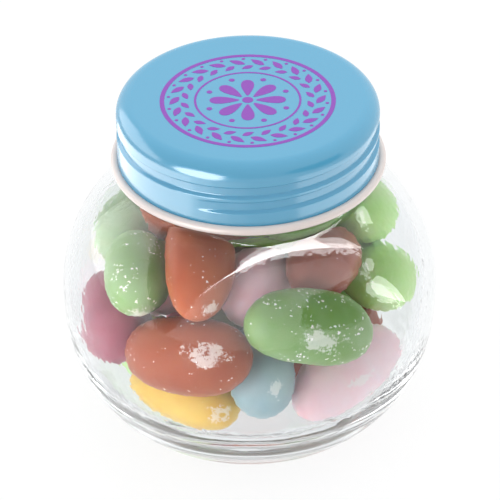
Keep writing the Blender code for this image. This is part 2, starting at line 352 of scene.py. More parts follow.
@dataclass(frozen=True)
class GlassFinish:
    """Soda-lime glass, blown in a mould: clear, with a cool cast where it is thick.

    Its faces are fire-polished, so lights show in it as sharp bright shapes.
    """

    tint: str = "F4F6F7"
    ior: float = 1.5
    roughness: float = 0.0
    chill_size: float = 1.3
    chill_depth: float = 0.03

    def material(self) -> bpy.types.Material:
        """Make the material; light passes straight through it to what is inside."""
        material, tree, shader = new_material("soda_lime_glass_mould_blown")
        place = add_node(tree, "ShaderNodeTexCoord").outputs["Object"]
        chill = add_node(tree, "ShaderNodeAttribute", {"attribute_name": "chill"})
        wave = add_node(tree, "ShaderNodeTexNoise", Vector=place, Detail=1.0,
                        Scale=per_metre(self.chill_size))
        bump = add_node(tree, "ShaderNodeBump", Height=wave.outputs["Fac"],
                        Distance=self.chill_depth * MM, Strength=chill.outputs["Fac"])
        tree.links.new(bump.outputs["Normal"], shader.inputs["Normal"])
        shader.inputs["Base Color"].default_value = srgb(self.tint)
        shader.inputs["IOR"].default_value = self.ior
        shader.inputs["Roughness"].default_value = self.roughness
        shader.inputs["Transmission Weight"].default_value = 1.0
        clear = add_node(tree, "ShaderNodeBsdfTransparent", Color=srgb(self.tint))
        path = add_node(tree, "ShaderNodeLightPath")
        mix = add_node(tree, "ShaderNodeMixShader", in0=path.outputs["Is Shadow Ray"],
                       in1=shader.outputs["BSDF"], in2=clear.outputs["BSDF"])
        output = tree.nodes["Material Output"]
        tree.links.new(mix.outputs["Shader"], output.inputs["Surface"])
        return material


@dataclass(frozen=True)
class EnamelFinish:
    """Stoved enamel on tinplate, roller coated: an even semi-gloss colour.

    A faint orange peel softens the edges of the lights that show in it.
    """

    name: str = "stoved_enamel_sky_blue"
    colour: str = "4D9ABC"
    roughness: float = 0.19
    peel_size: float = 0.9
    peel_depth: float = 0.003

    def material(self) -> bpy.types.Material:
        """Make the material."""
        material, tree, shader = new_material(self.name)
        shader.inputs["Base Color"].default_value = srgb(self.colour)
        shader.inputs["Roughness"].default_value = self.roughness
        shader.inputs["IOR"].default_value = 1.8
        place = add_node(tree, "ShaderNodeTexCoord")
        peel = add_node(tree, "ShaderNodeTexNoise", Vector=place.outputs["Object"],
                        Scale=per_metre(self.peel_size), Detail=1.0)
        bump = add_node(tree, "ShaderNodeBump", Height=peel.outputs["Fac"],
                        Distance=self.peel_depth * MM, Strength=1.0)
        tree.links.new(bump.outputs["Normal"], shader.inputs["Normal"])
        return material


@dataclass(frozen=True)
class InkFinish:
    """Pad-printed ink on enamel: flat, dense colour with less gloss than the enamel."""

    colour: str = "853AA9"
    roughness: float = 0.42

    def material(self) -> bpy.types.Material:
        """Make the material."""
        material, _, shader = new_material("pad_printed_ink_purple")
        shader.inputs["Base Color"].default_value = srgb(self.colour)
        shader.inputs["Roughness"].default_value = self.roughness
        shader.inputs["IOR"].default_value = 1.5
        return material


@dataclass(frozen=True)
class ShellFinish:
    """Panned sugar shell over jelly: satin, a little see-through, faintly cloudy.

    Loose sugar lies on it as sparse white flecks, which also stand in for painted glints.
    Each bean also carries a painted highlight: a white patch with a broken edge, drawn like
    sugar scuffed off against the glass.
    """

    flavour: Flavour
    deep: str
    pale: str
    cloud_size: float = 6.0
    grain_size: float = 0.5
    wrinkle_size: float = 1.6
    wrinkle_depth: float = 0.02
    fleck_pitch: float = 0.6
    fleck_cluster_size: float = 4.0
    # Size of the crumbs at the edge of the painted highlight.
    highlight_edge_size: float = 0.45
    roughness: float = 0.32
    glow: float = 0.65
    glow_depth: float = 2.4
    bloom: float = 0.02
    gloss: float = 0.22
    # Nearness above which the painted highlight is left hollow; above 1 it never is.
    hollow: float = 2.0

    def flecks(self, tree: bpy.types.NodeTree, place: bpy.types.NodeSocket
               ) -> bpy.types.NodeSocket:
        """Sparse white flecks of loose sugar, which also stand in for painted glints, denser where
        the sugar attribute is higher.

        Args:
            tree: The material's node tree.
            place: Object coordinates.

        Returns:
            How much of the surface is fleck, from 0 to 1.
        """
        # Flecks: white loose sugar, and painted glints on sugar crystals.
        sugar = add_node(tree, "ShaderNodeAttribute", {"attribute_name": "sugar"})
        bend = add_node(tree, "ShaderNodeTexNoise", Vector=place, Detail=2.0,
                        Scale=per_metre(0.35))
        shift = add_node(tree, "ShaderNodeVectorMath", {"operation": "MULTIPLY_ADD"},
                         in0=bend.outputs["Color"], in1=(0.9 * MM, 0.9 * MM, 0.9 * MM),
                         in2=place)
        cells = add_node(tree, "ShaderNodeTexVoronoi", Vector=shift.outputs["Vector"],
                         Scale=per_metre(self.fleck_pitch))
        lot = add_node(tree, "ShaderNodeSeparateColor", Color=cells.outputs["Color"])
        patch = add_node(tree, "ShaderNodeTexNoise", Vector=place, Detail=1.0,
                         Scale=per_metre(self.fleck_cluster_size))
        spread = add_node(tree, "ShaderNodeMapRange", Value=patch.outputs["Fac"],
                          From_Min=0.38, From_Max=0.62, To_Min=0.1, To_Max=1.1)
        chance = add_node(tree, "ShaderNodeMath", {"operation": "MULTIPLY"},
                          in0=sugar.outputs["Fac"], in1=spread.outputs["Result"])
        luck = add_node(tree, "ShaderNodeMath", {"operation": "SUBTRACT"},
                        in0=chance.outputs["Value"], in1=lot.outputs["Red"])
        reach = add_node(tree, "ShaderNodeMapRange", Value=luck.outputs["Value"],
                         From_Min=0.0, From_Max=0.3, To_Min=0.0, To_Max=0.4)
        room = add_node(tree, "ShaderNodeMath", {"operation": "SUBTRACT"},
                        in0=reach.outputs["Result"], in1=cells.outputs["Distance"])
        return add_node(tree, "ShaderNodeMapRange", Value=room.outputs["Value"],
                        From_Min=0.0, From_Max=0.08).outputs["Result"]

    def painted_highlights(self, tree: bpy.types.NodeTree, place: bpy.types.NodeSocket
               ) -> bpy.types.NodeSocket:
        """The painted highlight round each bean's given spot: a white patch drawn like scuffed
        sugar, broken up at its edge.
        """
        # Painted highlight: white where a point lies near its bean's highlight spot.
        rub = add_node(tree, "ShaderNodeAttribute", {"attribute_name": "rub"})
        drift = add_node(tree, "ShaderNodeTexNoise", Vector=place, Detail=1.0,
                         Scale=per_metre(self.highlight_edge_size * 4))
        crumble = add_node(tree, "ShaderNodeTexNoise", Vector=place, Detail=3.0,
                           Scale=per_metre(self.highlight_edge_size), Roughness=0.7)
        bent = add_node(tree, "ShaderNodeMath", {"operation": "MULTIPLY_ADD"},
                        in0=drift.outputs["Fac"], in1=1.3, in2=rub.outputs["Fac"])
        edge = add_node(tree, "ShaderNodeMath", {"operation": "MULTIPLY_ADD"},
                        in0=crumble.outputs["Fac"], in1=1.7, in2=bent.outputs["Value"])
        patch = add_node(tree, "ShaderNodeMapRange", Value=edge.outputs["Value"],
                         From_Min=1.86, From_Max=2.06, To_Max=0.55)
        has_painted_highlight = add_node(tree, "ShaderNodeMath", {"operation": "GREATER_THAN"},
                          in0=rub.outputs["Fac"], in1=0.001)
        # Where set, a hollow middle turns the painted highlight into a ring.
        middle = add_node(tree, "ShaderNodeMapRange", Value=rub.outputs["Fac"],
                          From_Min=self.hollow, From_Max=self.hollow + 0.1,
                          To_Min=1.0, To_Max=0.0)
        kept = add_node(tree, "ShaderNodeMath", {"operation": "MULTIPLY"},
                        in0=has_painted_highlight.outputs["Value"], in1=middle.outputs["Result"])
        return add_node(tree, "ShaderNodeMath", {"operation": "MULTIPLY"},
                        in0=patch.outputs["Result"], in1=kept.outputs["Value"]
                        ).outputs["Value"]

    def material(self) -> bpy.types.Material:
        """Make the material; each bean's tone, its flecks of sugar and painted glints, and its
        painted highlight vary it.
        """
        material, tree, shader = new_material("sugar_shell_" + self.flavour.value)
        place = add_node(tree, "ShaderNodeTexCoord").outputs["Object"]
        tone = add_node(tree, "ShaderNodeAttribute", {"attribute_name": "tone"})
        cloud = add_node(tree, "ShaderNodeTexNoise", Vector=place, Detail=3.0,
                         Scale=per_metre(self.cloud_size), Roughness=0.5)
        drift = add_node(tree, "ShaderNodeMapRange", {"clamp": False},
                         Value=cloud.outputs["Fac"], From_Min=0.3, From_Max=0.7,
                         To_Min=-0.25, To_Max=0.25)
        share = add_node(tree, "ShaderNodeMath", {"operation": "ADD", "use_clamp": True},
                         in0=tone.outputs["Fac"], in1=drift.outputs["Result"])
        body = add_node(tree, "ShaderNodeMix", {"data_type": "RGBA"},
                        in0=share.outputs["Value"], in6=srgb(self.deep), in7=srgb(self.pale))
        # White flecks (loose sugar and painted glints) and the painted highlight are mixed into the
        # shell's colour.
        flecks, painted_highlights = self.flecks(tree, place), self.painted_highlights(tree, place)
        white = add_node(tree, "ShaderNodeMath", {"operation": "MAXIMUM"},
                         in0=flecks, in1=painted_highlights)
        coated = add_node(tree, "ShaderNodeMix", {"data_type": "RGBA"},
                          in0=white.outputs["Value"], in6=body.outputs[2],
                          in7=srgb("FBF8F4"))
        tree.links.new(coated.outputs[2], shader.inputs["Base Color"])

        grain = add_node(tree, "ShaderNodeTexNoise", Vector=place, Detail=2.0,
                         Scale=per_metre(self.grain_size))
        wrinkle = add_node(tree, "ShaderNodeTexNoise", Vector=place, Detail=3.0,
                           Scale=per_metre(self.wrinkle_size), Roughness=0.6)
        relief = add_node(tree, "ShaderNodeMath", {"operation": "MULTIPLY_ADD"},
                          in0=grain.outputs["Fac"], in1=0.2, in2=wrinkle.outputs["Fac"])
        height = add_node(tree, "ShaderNodeMath", {"operation": "MULTIPLY_ADD"},
                          in0=white.outputs["Value"], in1=1.0, in2=relief.outputs["Value"])
        bump = add_node(tree, "ShaderNodeBump", Height=height.outputs["Value"],
                        Distance=self.wrinkle_depth * MM, Strength=1.0)
        tree.links.new(bump.outputs["Normal"], shader.inputs["Normal"])

        shader.inputs["Roughness"].default_value = self.roughness
        shader.inputs["IOR"].default_value = 1.48
        shader.inputs["Specular IOR Level"].default_value = self.gloss
        shader.inputs["Subsurface Weight"].default_value = self.glow
        shader.inputs["Subsurface Radius"].default_value = (1.0, 0.65, 0.5)
        shader.inputs["Subsurface Scale"].default_value = self.glow_depth * MM
        shader.inputs["Sheen Weight"].default_value = self.bloom
        shader.inputs["Sheen Roughness"].default_value = 0.5
        return material


@dataclass(frozen=True)
class ShadeCoreFinish:
    """Painted shade: a dark, dull core inside the heap, so the gaps between the beans read deep."""

    colour: str = "7A4A3C"
    roughness: float = 0.6

    def material(self) -> bpy.types.Material:
        """Make the material."""
        material, tree, shader = new_material("set_syrup_caramel")
        place = add_node(tree, "ShaderNodeTexCoord").outputs["Object"]
        # Olive to dark brown: the painted shade seen between the beans.
        cloud = add_node(tree, "ShaderNodeTexNoise", Vector=place, Scale=per_metre(5.0))
        body = add_node(tree, "ShaderNodeMix", {"data_type": "RGBA"},
                        in0=cloud.outputs["Fac"], in6=srgb("5E6B40"), in7=srgb(self.colour))
        tree.links.new(body.outputs[2], shader.inputs["Base Color"])
        shader.inputs["Roughness"].default_value = self.roughness
        return material


SHELLS: dict[Flavour, ShellFinish] = {
    Flavour.SAGE: ShellFinish(Flavour.SAGE, "719C44", "A2BC90"),
    Flavour.LIME: ShellFinish(Flavour.LIME, "ACEA62", "D2ECB2"),
    Flavour.ROSE: ShellFinish(Flavour.ROSE, "90304E", "BE7082"),
    Flavour.TOFFEE: ShellFinish(Flavour.TOFFEE, "903310", "AC5A30"),
    # Toffee painted lighter: painted light shining through the bean from behind.
    Flavour.CARAMEL: ShellFinish(Flavour.CARAMEL, "AD4E23", "C67850"),
    # The lemon beans' painted highlight is a ring, hollow in its middle.
    Flavour.LEMON: ShellFinish(Flavour.LEMON, "DFAC2D", "F2D878", hollow=0.72),
    Flavour.SKY: ShellFinish(Flavour.SKY, "84A6AF", "B8CACE"),
    Flavour.PINK: ShellFinish(Flavour.PINK, "FFB8C4", "FFE8EE"),
    Flavour.MAROON: ShellFinish(Flavour.MAROON, "843826", "B66A52"),
    Flavour.CHERRY: ShellFinish(Flavour.CHERRY, "B8301E", "D9644A"),
}


# ---------------------------------------------------------------------- glass jar


@dataclass
class JarGlass:
    """The round glass jar, in millimetres: a turned shell whose wall varies a little."""

    base_z: float = 0.0
    body_radius: float = 30.0
    equator_z: float = 24.0
    upper_height: float = 26.5
    lower_height: float = 27.2
    lower_squareness: float = 2.37
    heel_height: float = 1.4
    heel_inset: float = 2.2
    bore_radius: float = 28.2
    bore_upper_height: float = 24.8
    bore_lower_height: float = 21.3
    bore_squareness: float = 2.7
    neck_radius: float = 18.5
    neck_bore_radius: float = 16.5
    neck_fillet: float = 1.6
    lip_z: float = 57.5
    lip_round: float = 0.9
    around: int = 256
    ripple_depth: float = 0.12
    ripple_waves: tuple[tuple[float, float, float, float], ...] = (
        (2, 0.9, 0.4, 1.0), (3, -1.4, 2.1, 0.8), (5, 2.2, 5.0, 0.5),
        (8, -3.1, 1.2, 0.35), (13, 4.7, 3.3, 0.2), (21, -7.5, 0.7, 0.1))
    finish: GlassFinish = field(default_factory=GlassFinish)

    def outer_wall(self) -> np.ndarray:
        """Profile of the outside, from the lip down to the middle of the base."""
        centre = (self.neck_radius - self.lip_round, self.lip_z - self.lip_round)
        body, upper = self.body_radius, self.upper_height
        lower, square = self.lower_height, self.lower_squareness
        reach = self.neck_radius + self.neck_fillet
        shoulder = (reach, self.equator_z + oval_height(reach, body, upper, 2.0))
        root_z = self.equator_z + oval_height(self.neck_radius, body, upper, 2.0)
        neck_foot = (self.neck_radius, root_z + self.neck_fillet)
        top = math.atan2((shoulder[1] - self.equator_z) / upper, reach / body)
        heel_drop = self.equator_z - self.heel_height
        heel_radius = oval_radius(heel_drop, body, lower, square)
        base_radius = oval_radius(self.equator_z, body, lower, square)
        heel = -math.atan2(heel_drop / lower, heel_radius / body)
        middle = np.array([0.0, self.equator_z])
        flat_radius = base_radius - self.heel_inset
        parts = [
            arc(centre, self.lip_round, 90, 0, 10),
            straight((self.neck_radius, centre[1]), neck_foot, 8)[1:],
            bezier(neck_foot, (self.neck_radius, root_z), shoulder, 10)[1:],
            (oval_points(body, upper, 2.0, top, 0.0, 56) + middle)[1:],
            (oval_points(body, lower, square, 0.0, heel, 64) + middle)[1:],
            bezier((heel_radius, self.heel_height), (base_radius, 0.0),
                   (flat_radius, 0.0), 14)[1:],
            straight((flat_radius, 0.0), (0.6, 0.0), 10)[1:],
        ]
        return np.concatenate(parts)

    def inner_wall(self) -> np.ndarray:
        """Profile of the hollow, from the middle of its floor up to the lip."""
        top = oval_height(self.neck_bore_radius, self.bore_radius, self.bore_upper_height, 2.0)
        end = math.atan2(top / self.bore_upper_height, self.neck_bore_radius / self.bore_radius)
        middle = np.array([0.0, self.equator_z])
        centre = (self.neck_bore_radius + self.lip_round, self.lip_z - self.lip_round)
        lower = oval_points(self.bore_radius, self.bore_lower_height, self.bore_squareness,
                            -math.pi / 2, 0.0, 72) + middle
        upper = oval_points(self.bore_radius, self.bore_upper_height, 2.0, 0.0, end, 48) + middle
        rise = straight(tuple(upper[-1]), (self.neck_bore_radius, centre[1]), 6)
        lip = arc(centre, self.lip_round, 180, 90, 8)
        return np.concatenate([lower[1:], upper[1:], rise[1:], lip[1:-1]])

    def ripple(self, rings: np.ndarray) -> np.ndarray:
        """How much thinner the blown wall is at each point of the hollow.

        Args:
            rings: Points of the inner wall, shaped (rings, points a ring, 3).

        Returns:
            Millimetres that the wall lacks at each point.
        """
        bearing = np.arctan2(rings[..., 1], rings[..., 0])
        height = rings[..., 2] / 10.0
        wave = np.zeros(bearing.shape)
        for lobes, climb, start, share in self.ripple_waves:
            wave += share * 0.5 * (1.0 + np.sin(lobes * bearing + climb * height + start))
        fade = np.clip((self.lip_z - 10.0 - rings[..., 2]) / 6.0, 0.0, 1.0)
        return self.ripple_depth * wave * fade

    def chilled(self, rings: np.ndarray) -> np.ndarray:
        """How strongly the hollow's side shows the fine ripple of glass that set early."""
        rise = np.clip((rings[..., 2] - 8.0) / 10.0, 0.0, 1.0)
        fall = np.clip((self.lip_z - 8.0 - rings[..., 2]) / 6.0, 0.0, 1.0)
        return rise * fall

    def build(self) -> bpy.types.Object:
        """Build the jar and dress it.

        Returns:
            The jar as one closed piece.
        """
        inner = spin_rings(self.inner_wall(), self.around)
        inner[..., :2] *= (1.0 + self.ripple(inner) / self.bore_radius)[..., None]
        outer = spin_rings(self.outer_wall(), self.around)
        rings = np.concatenate([inner, outer])
        rings[..., 2] += self.base_z
        mesh = turned_mesh("glass_jar_blown", rings, (True, True))
        chill = np.zeros(len(mesh.vertices), dtype=np.float32)
        chill[:inner.shape[0] * inner.shape[1]] = self.chilled(inner).ravel()
        mesh.attributes.new("chill", "FLOAT", "POINT").data.foreach_set("value", chill)
        mesh.materials.append(self.finish.material())
        return link_object("glass_jar_blown", mesh)


# ---------------------------------------------------------------------- screw lid


@dataclass
class ScrewLid:
    """The tinplate screw lid, in millimetres: shell, pressed groove and rolled edge."""

    top_z: float = 58.5
    print_room: float = 0.03
    wall: float = 0.4
    skirt_radius: float = 20.5
    skirt_bottom_z: float = 48.0
    shoulder_round: float = 2.6
    curl_radius: float = 20.85
    curl_z: float = 47.5
    curl_round: float = 0.7
    seam_depth: float = 0.25
    bore_radius: float = 19.5
    groove_depth: float = 0.5
    groove_half_width: float = 1.1
    groove_rim: float = 0.45
    groove_pitch: float = 2.6
    groove_start_z: float = 51.2
    groove_start: float = math.radians(-23)
    groove_turns: float = 1.6
    groove_fade: float = math.radians(14)
    around: int = 360
    enamel: EnamelFinish = field(default_factory=EnamelFinish)
    lacquer: EnamelFinish = field(default_factory=lambda: EnamelFinish(
        name="gold_lacquer_cream", colour="DACCC6", roughness=0.4))

    @property
    def plate_z(self) -> float:
        """Height of the enamelled top, a print's thickness below the lid's full height."""
        return self.top_z - self.print_room

    def outside(self) -> np.ndarray:
        """Profile of the enamelled face, from the middle of the top to the rolled edge."""
        centre = (self.skirt_radius - self.shoulder_round, self.plate_z - self.shoulder_round)
        parts = [
            straight((0.5, self.plate_z), (centre[0], self.plate_z), 14),
            arc(centre, self.shoulder_round, 90, 0, 26)[1:],
            straight((self.skirt_radius, centre[1]),
                     (self.skirt_radius, self.skirt_bottom_z + 0.15), 112)[1:],
            bezier((self.skirt_radius, self.skirt_bottom_z + 0.15),
                   (self.skirt_radius, self.skirt_bottom_z),
                   (self.skirt_radius - self.seam_depth, self.skirt_bottom_z - 0.1), 4)[1:],
        ]
        return np.concatenate(parts)

    def inside(self) -> np.ndarray:
        """Profile of the lacquered face, from the rolled edge to the middle of the top."""
        top = self.plate_z - self.wall
        inner_round = self.shoulder_round - self.wall
        parts = [
            straight((self.skirt_radius - self.seam_depth, self.curl_z - 0.1),
                     (self.bore_radius, self.skirt_bottom_z + 0.6), 4),
            straight((self.bore_radius, self.skirt_bottom_z + 0.6),
                     (self.bore_radius, top - inner_round), 6)[1:],
            arc((self.bore_radius - inner_round, top - inner_round), inner_round, 0, 90, 8)[1:],
            straight((self.bore_radius - inner_round, top), (0.5, top), 6)[1:],
        ]
        return np.concatenate(parts)

    def press_groove(self, rings: np.ndarray) -> np.ndarray:
        """Depth of the pressed groove at each point of the enamelled face.

        Args:
            rings: Points of the face, shaped (rings, points a ring, 3).

        Returns:
            Depth in millimetres for each point.
        """
        bearing = np.arctan2(rings[..., 0], -rings[..., 1])
        share = np.zeros(bearing.shape)
        end = self.groove_turns * 2 * math.pi
        for turn in range(math.ceil(self.groove_turns) + 1):
            run = bearing - self.groove_start + 2 * math.pi * turn
            fade = np.clip(np.minimum(run, end - run) / self.groove_fade, 0.0, 1.0)
            middle = self.groove_start_z + self.groove_pitch * run / (2 * math.pi)
            offset = np.abs(rings[..., 2] - middle) / self.groove_half_width
            wall = np.clip((1.0 - offset) / self.groove_rim, 0.0, 1.0)
            share = np.maximum(share, fade * wall * wall * (3.0 - 2.0 * wall))
        return self.groove_depth * share

    def build(self) -> tuple[bpy.types.Object, bpy.types.Object]:
        """Build the lid and dress it.

        Returns:
            The shell and its rolled edge.
        """
        outer = spin_rings(self.outside(), self.around)
        radius = np.hypot(outer[..., 0], outer[..., 1])
        on_skirt = np.abs(radius - self.skirt_radius) < 0.001
        depth = np.where(on_skirt, self.press_groove(outer), 0.0)
        outer[..., :2] *= ((radius - depth) / radius)[..., None]
        inner = spin_rings(self.inside(), self.around)
        mesh = turned_mesh("lid_shell", np.concatenate([outer, inner]), (True, True))
        enamel, lacquer = self.enamel.material(), self.lacquer.material()
        mesh.materials.append(enamel)
        mesh.materials.append(lacquer)
        enamelled = (len(outer) - 1) * self.around
        quads = (len(outer) + len(inner) - 1) * self.around
        lined = np.zeros(len(mesh.polygons), dtype=np.int32)
        lined[enamelled:quads] = 1
        lined[quads + self.around:] = 1
        mesh.polygons.foreach_set("material_index", lined)

        ring = arc((self.curl_radius, self.curl_z), self.curl_round, 180, -180, 29)[:-1]
        edge = turned_mesh("lid_rolled_edge", spin_rings(ring, self.around),
                           (False, False), looped=True)
        edge.materials.append(lacquer)
        return link_object("lid_shell", mesh), link_object("lid_rolled_edge", edge)


def outline_prism(name: str, outline: np.ndarray, thickness: float) -> bpy.types.Mesh:
    """Make a flat plate from an outline.

    Args:
        name: The mesh's name.
        outline: (x, y) points in millimetres, anticlockwise.
        thickness: The plate's thickness in millimetres, up from z = 0.

    Returns:
        The closed mesh, in metres.
    """
    count = len(outline)
    low = [(x * MM, y * MM, 0.0) for x, y in outline]
    high = [(x * MM, y * MM, thickness * MM) for x, y in outline]
    faces = [tuple(range(count, 2 * count)), tuple(reversed(range(count)))]
    faces += [(i, (i + 1) % count, count + (i + 1) % count, count + i) for i in range(count)]
    mesh = bpy.data.meshes.new(name)
    mesh.from_pydata(low + high, [], faces)
    mesh.validate()
    return mesh


def joined(name: str, meshes: list[bpy.types.Mesh]) -> bpy.types.Mesh:
    """Join meshes that share one material into a new mesh."""
    whole = bmesh.new()
    for mesh in meshes:
        whole.from_mesh(mesh)
    result = bpy.data.meshes.new(name)
    whole.to_mesh(result)
    whole.free()
    result.materials.append(meshes[0].materials[0])
    return result


class Motif(Enum):
    """Shapes that the print on the lid repeats round its middle."""

    LEAF = "leaf"
    DOT = "dot"
    PETAL = "petal"
    HEART = "heart"


@dataclass(frozen=True)
class MotifRing:
    """One ring of motifs: how many, how far out, how big and how they are turned."""

    motif: Motif
    count: int
    radius: float
    length: float
    width: float
    tilt: float = 0.0
    start: float = 0.0


@dataclass
class LidPrint:
    """The purple print on the lid, in millimetres: a leafy wreath round a flower."""

    top_z: float = 58.5
    film: float = 0.03
    centre: tuple[float, float] = (0.0, -1.0)
    bands: tuple[tuple[float, float], ...] = ((13.6, 12.9), (8.3, 7.95))
    rings: tuple[MotifRing, ...] = (
        MotifRing(Motif.LEAF, 22, 11.35, 2.7, 1.15, tilt=58.0),
        MotifRing(Motif.LEAF, 22, 9.75, 2.0, 0.95, tilt=118.0, start=8.2),
        MotifRing(Motif.DOT, 22, 12.3, 0.55, 0.55, start=11.0),
        MotifRing(Motif.PETAL, 8, 3.6, 4.6, 2.35),
        MotifRing(Motif.DOT, 8, 6.4, 0.9, 0.9, start=22.5),
        MotifRing(Motif.DOT, 1, 0.0, 1.7, 1.7),
    )
    finish: InkFinish = field(default_factory=InkFinish)

    def outline(self, ring: MotifRing) -> np.ndarray:
        """Outline of one motif, pointing along +X about its own middle.

        Args:
            ring: The ring that the motif belongs to.

        Returns:
            (x, y) points, anticlockwise.
        """
        turn = np.linspace(0.0, 2 * math.pi, 33)[:-1]
        along, across = np.cos(turn), np.sin(turn)
        if ring.motif is Motif.LEAF:
            across = across * np.sqrt(1.0 - along ** 2) * (1.0 - 0.25 * along)
        elif ring.motif is Motif.PETAL:
            across = across * (0.78 + 0.42 * along)
        return np.stack([along * ring.length / 2, across * ring.width / 2], axis=1)

    def grow_ring(self, ring: MotifRing, ink: bpy.types.Material) -> bpy.types.Mesh:
        """Repeat a motif round the print's middle.

        Args:
            ring: What to repeat and where.
            ink: The print's material.

        Returns:
            The ring of motifs as a plain mesh.
        """
        tree = ShapeTree("print_" + ring.motif.value)
        shape = tree.declare("Motif", "NodeSocketObject")
        tilt = tree.declare("Tilt", "NodeSocketFloat")
        dye = tree.declare("Ink", "NodeSocketMaterial")
        place = tree.add("GeometryNodeInputPosition")
        spot = tree.add("ShaderNodeSeparateXYZ", Vector=place.outputs["Position"])
        bearing = tree.add("ShaderNodeMath", {"operation": "ARCTAN2"},
                           in0=spot.outputs["Y"], in1=spot.outputs["X"])
        turned = tree.add("ShaderNodeMath", {"operation": "ADD"},
                          in0=bearing.outputs["Value"], in1=tilt)
        spin = tree.add("ShaderNodeCombineXYZ", Z=turned.outputs["Value"])
        rotation = tree.add("FunctionNodeEulerToRotation", Euler=spin.outputs["Vector"])
        info = tree.add("GeometryNodeObjectInfo", Object=shape)
        spread = tree.add("GeometryNodeInstanceOnPoints", Points=tree.geometry,
                          Instance=info.outputs["Geometry"],
                          Rotation=rotation.outputs["Rotation"])
        tree.finish(spread.outputs["Instances"], dye)

        bearings = np.radians(ring.start) + np.arange(ring.count) * 2 * math.pi / ring.count
        host = bpy.data.meshes.new("print_places")
        host.from_pydata([(ring.radius * MM * math.cos(b), ring.radius * MM * math.sin(b), 0.0)
                          for b in bearings], [], [])
        motif = link_object("motif", outline_prism("motif", self.outline(ring), self.film))
        mesh = tree.run(host, {"Motif": motif, "Tilt": math.radians(ring.tilt), "Ink": ink})
        bpy.data.objects.remove(motif)
        return mesh

    def build(self) -> bpy.types.Object:
        """Build the print and dress it.

        Returns:
            The whole print as one piece on the lid's top.
        """
        ink = self.finish.material()
        parts = []
        for outer, inner in self.bands:
            section = np.array([(inner, 0.0), (inner, self.film), (outer, self.film),
                                (outer, 0.0)])
            band = turned_mesh("print_band", spin_rings(section, 180), (False, False),
                               looped=True)
            band.materials.append(ink)
            parts.append(band)
        parts += [self.grow_ring(ring, ink) for ring in self.rings]
        mesh = joined("lid_print", parts)
        mesh.shade_flat()
        lift = Vector((*self.centre, self.top_z - self.film)) * MM
        mesh.transform(Matrix.Translation(lift))
        return link_object("lid_print", mesh)


# ---------------------------------------------------------------------- jelly beans


@dataclass(frozen=True)
class Bean:
    """One bean before it settles: its place, lie and size, its flavour and its looks.

    The heading runs from +X towards +Y and the climb upwards, in degrees. Tone goes from
    the deep to the pale colour of the flavour, roll turns the bean about its long axis,
    and the sugar share says how many white flecks lie on it, loose sugar and painted glints.
    The painted highlight, a white patch drawn like sugar rubbed off on the glass, is given as
    degrees to the right of the front, degrees up and millimetres across.
    """

    place: tuple[float, float, float]
    heading: float
    climb: float
    length: float
    width: float
    flavour: Flavour
    tone: float = 0.5
    roll: float = 0.0
    sugar: float = 0.1
    # The painted highlight: bearing, climb and size of a white patch drawn like rubbed sugar.
    rub: tuple[float, float, float] = (0.0, 90.0, 0.0)


# Front beans, one a row: place, heading, climb, length, width, flavour, tone, roll, sugar share and
# painted highlight (bearing, climb, size).
FRONT_BEANS: tuple[Bean, ...] = (
    Bean((-22.0, 10.5, 29.0), 60, 0, 20.0, 12.0, Flavour.SAGE, 0.95, 40, 0.03),
    Bean((-18.5, -7.5, 30.0), 85, -5, 19.0, 10.8, Flavour.SAGE, 0.25, 200, 0.65, (5, -15, 2.8)),
    Bean((-23.0, -3.5, 21.0), -80, -10, 18.5, 11.0, Flavour.ROSE, 0.35, 30, 0.03),
    # This toffee bean wears the lighter shell: painted light from behind.
    Bean((-8.5, -13.5, 33.5), 87, 15, 22.0, 11.0, Flavour.CARAMEL, 0.3, 150, 0.25, (12, -8, 1.9)),
    Bean((-9.5, -16.9, 26.1), -25, 15, 22.0, 12.0, Flavour.TOFFEE, 0.5, 180, 0.3, (28, 32, 2.9)),
    Bean((-11.0, -15.0, 9.5), -40, -5, 19.5, 10.8, Flavour.LEMON, 0.4, 0, 0.03, (38, 10, 2.4)),
    Bean((2.5, -15.0, 17.0), -85, -5, 17.5, 10.4, Flavour.SKY, 0.45, 90, 0.05, (18, 14, 1.7)),
    Bean((14.5, -14.0, 12.5), 50, 15, 21.5, 11.4, Flavour.PINK, 0.55, 0, 0.05, (22, 25, 1.7)),
    Bean((8.0, -18.5, 28.5), 20, -10, 21.0, 11.7, Flavour.SAGE, 0.25, 0, 0.6, (22, 10, 2.7)),
    Bean((2.0, -7.0, 28.0), 75, -5, 18.5, 10.8, Flavour.PINK, 0.45, 60, 0.05),
    Bean((10.0, -4.5, 29.5), 80, -5, 18.5, 11.0, Flavour.MAROON, 0.5, 120, 0.05),
    Bean((20.5, 5.0, 21.5), -65, 20, 18.5, 11.4, Flavour.LIME, 0.45, 200, 0.05),
    Bean((18.0, 11.5, 32.5), -50, 15, 18.5, 11.0, Flavour.LIME, 0.45, 10, 0.05),
    Bean((7.0, 7.5, 29.5), 10, 5, 18.5, 11.0, Flavour.LIME, 0.2, 90, 0.03),
    Bean((6.0, 14.0, 20.0), 70, 10, 18.0, 10.5, Flavour.CHERRY, 0.4, 0, 0.03),
)


@dataclass(frozen=True)
class BackArc:
    """Beans of the floor, the back and the top, laid in an arc about the jar's middle."""

    flavours: tuple[Flavour, ...]
    reach: float
    height: float
    first: float
    step: float


BACK_ARCS: tuple[BackArc, ...] = (
    BackArc((Flavour.TOFFEE, Flavour.SAGE, Flavour.ROSE, Flavour.LIME), 14.0, 10.5, 15, 52),
    BackArc((Flavour.MAROON,), 1.0, 15.0, 100, 0),
    BackArc((Flavour.LEMON, Flavour.PINK), 17.0, 21.0, 110, 45),
    BackArc((Flavour.ROSE,), 19.0, 29.0, 95, 0),
    BackArc((Flavour.SAGE, Flavour.SKY, Flavour.TOFFEE), 9.5, 41.0, 30, 80),
)


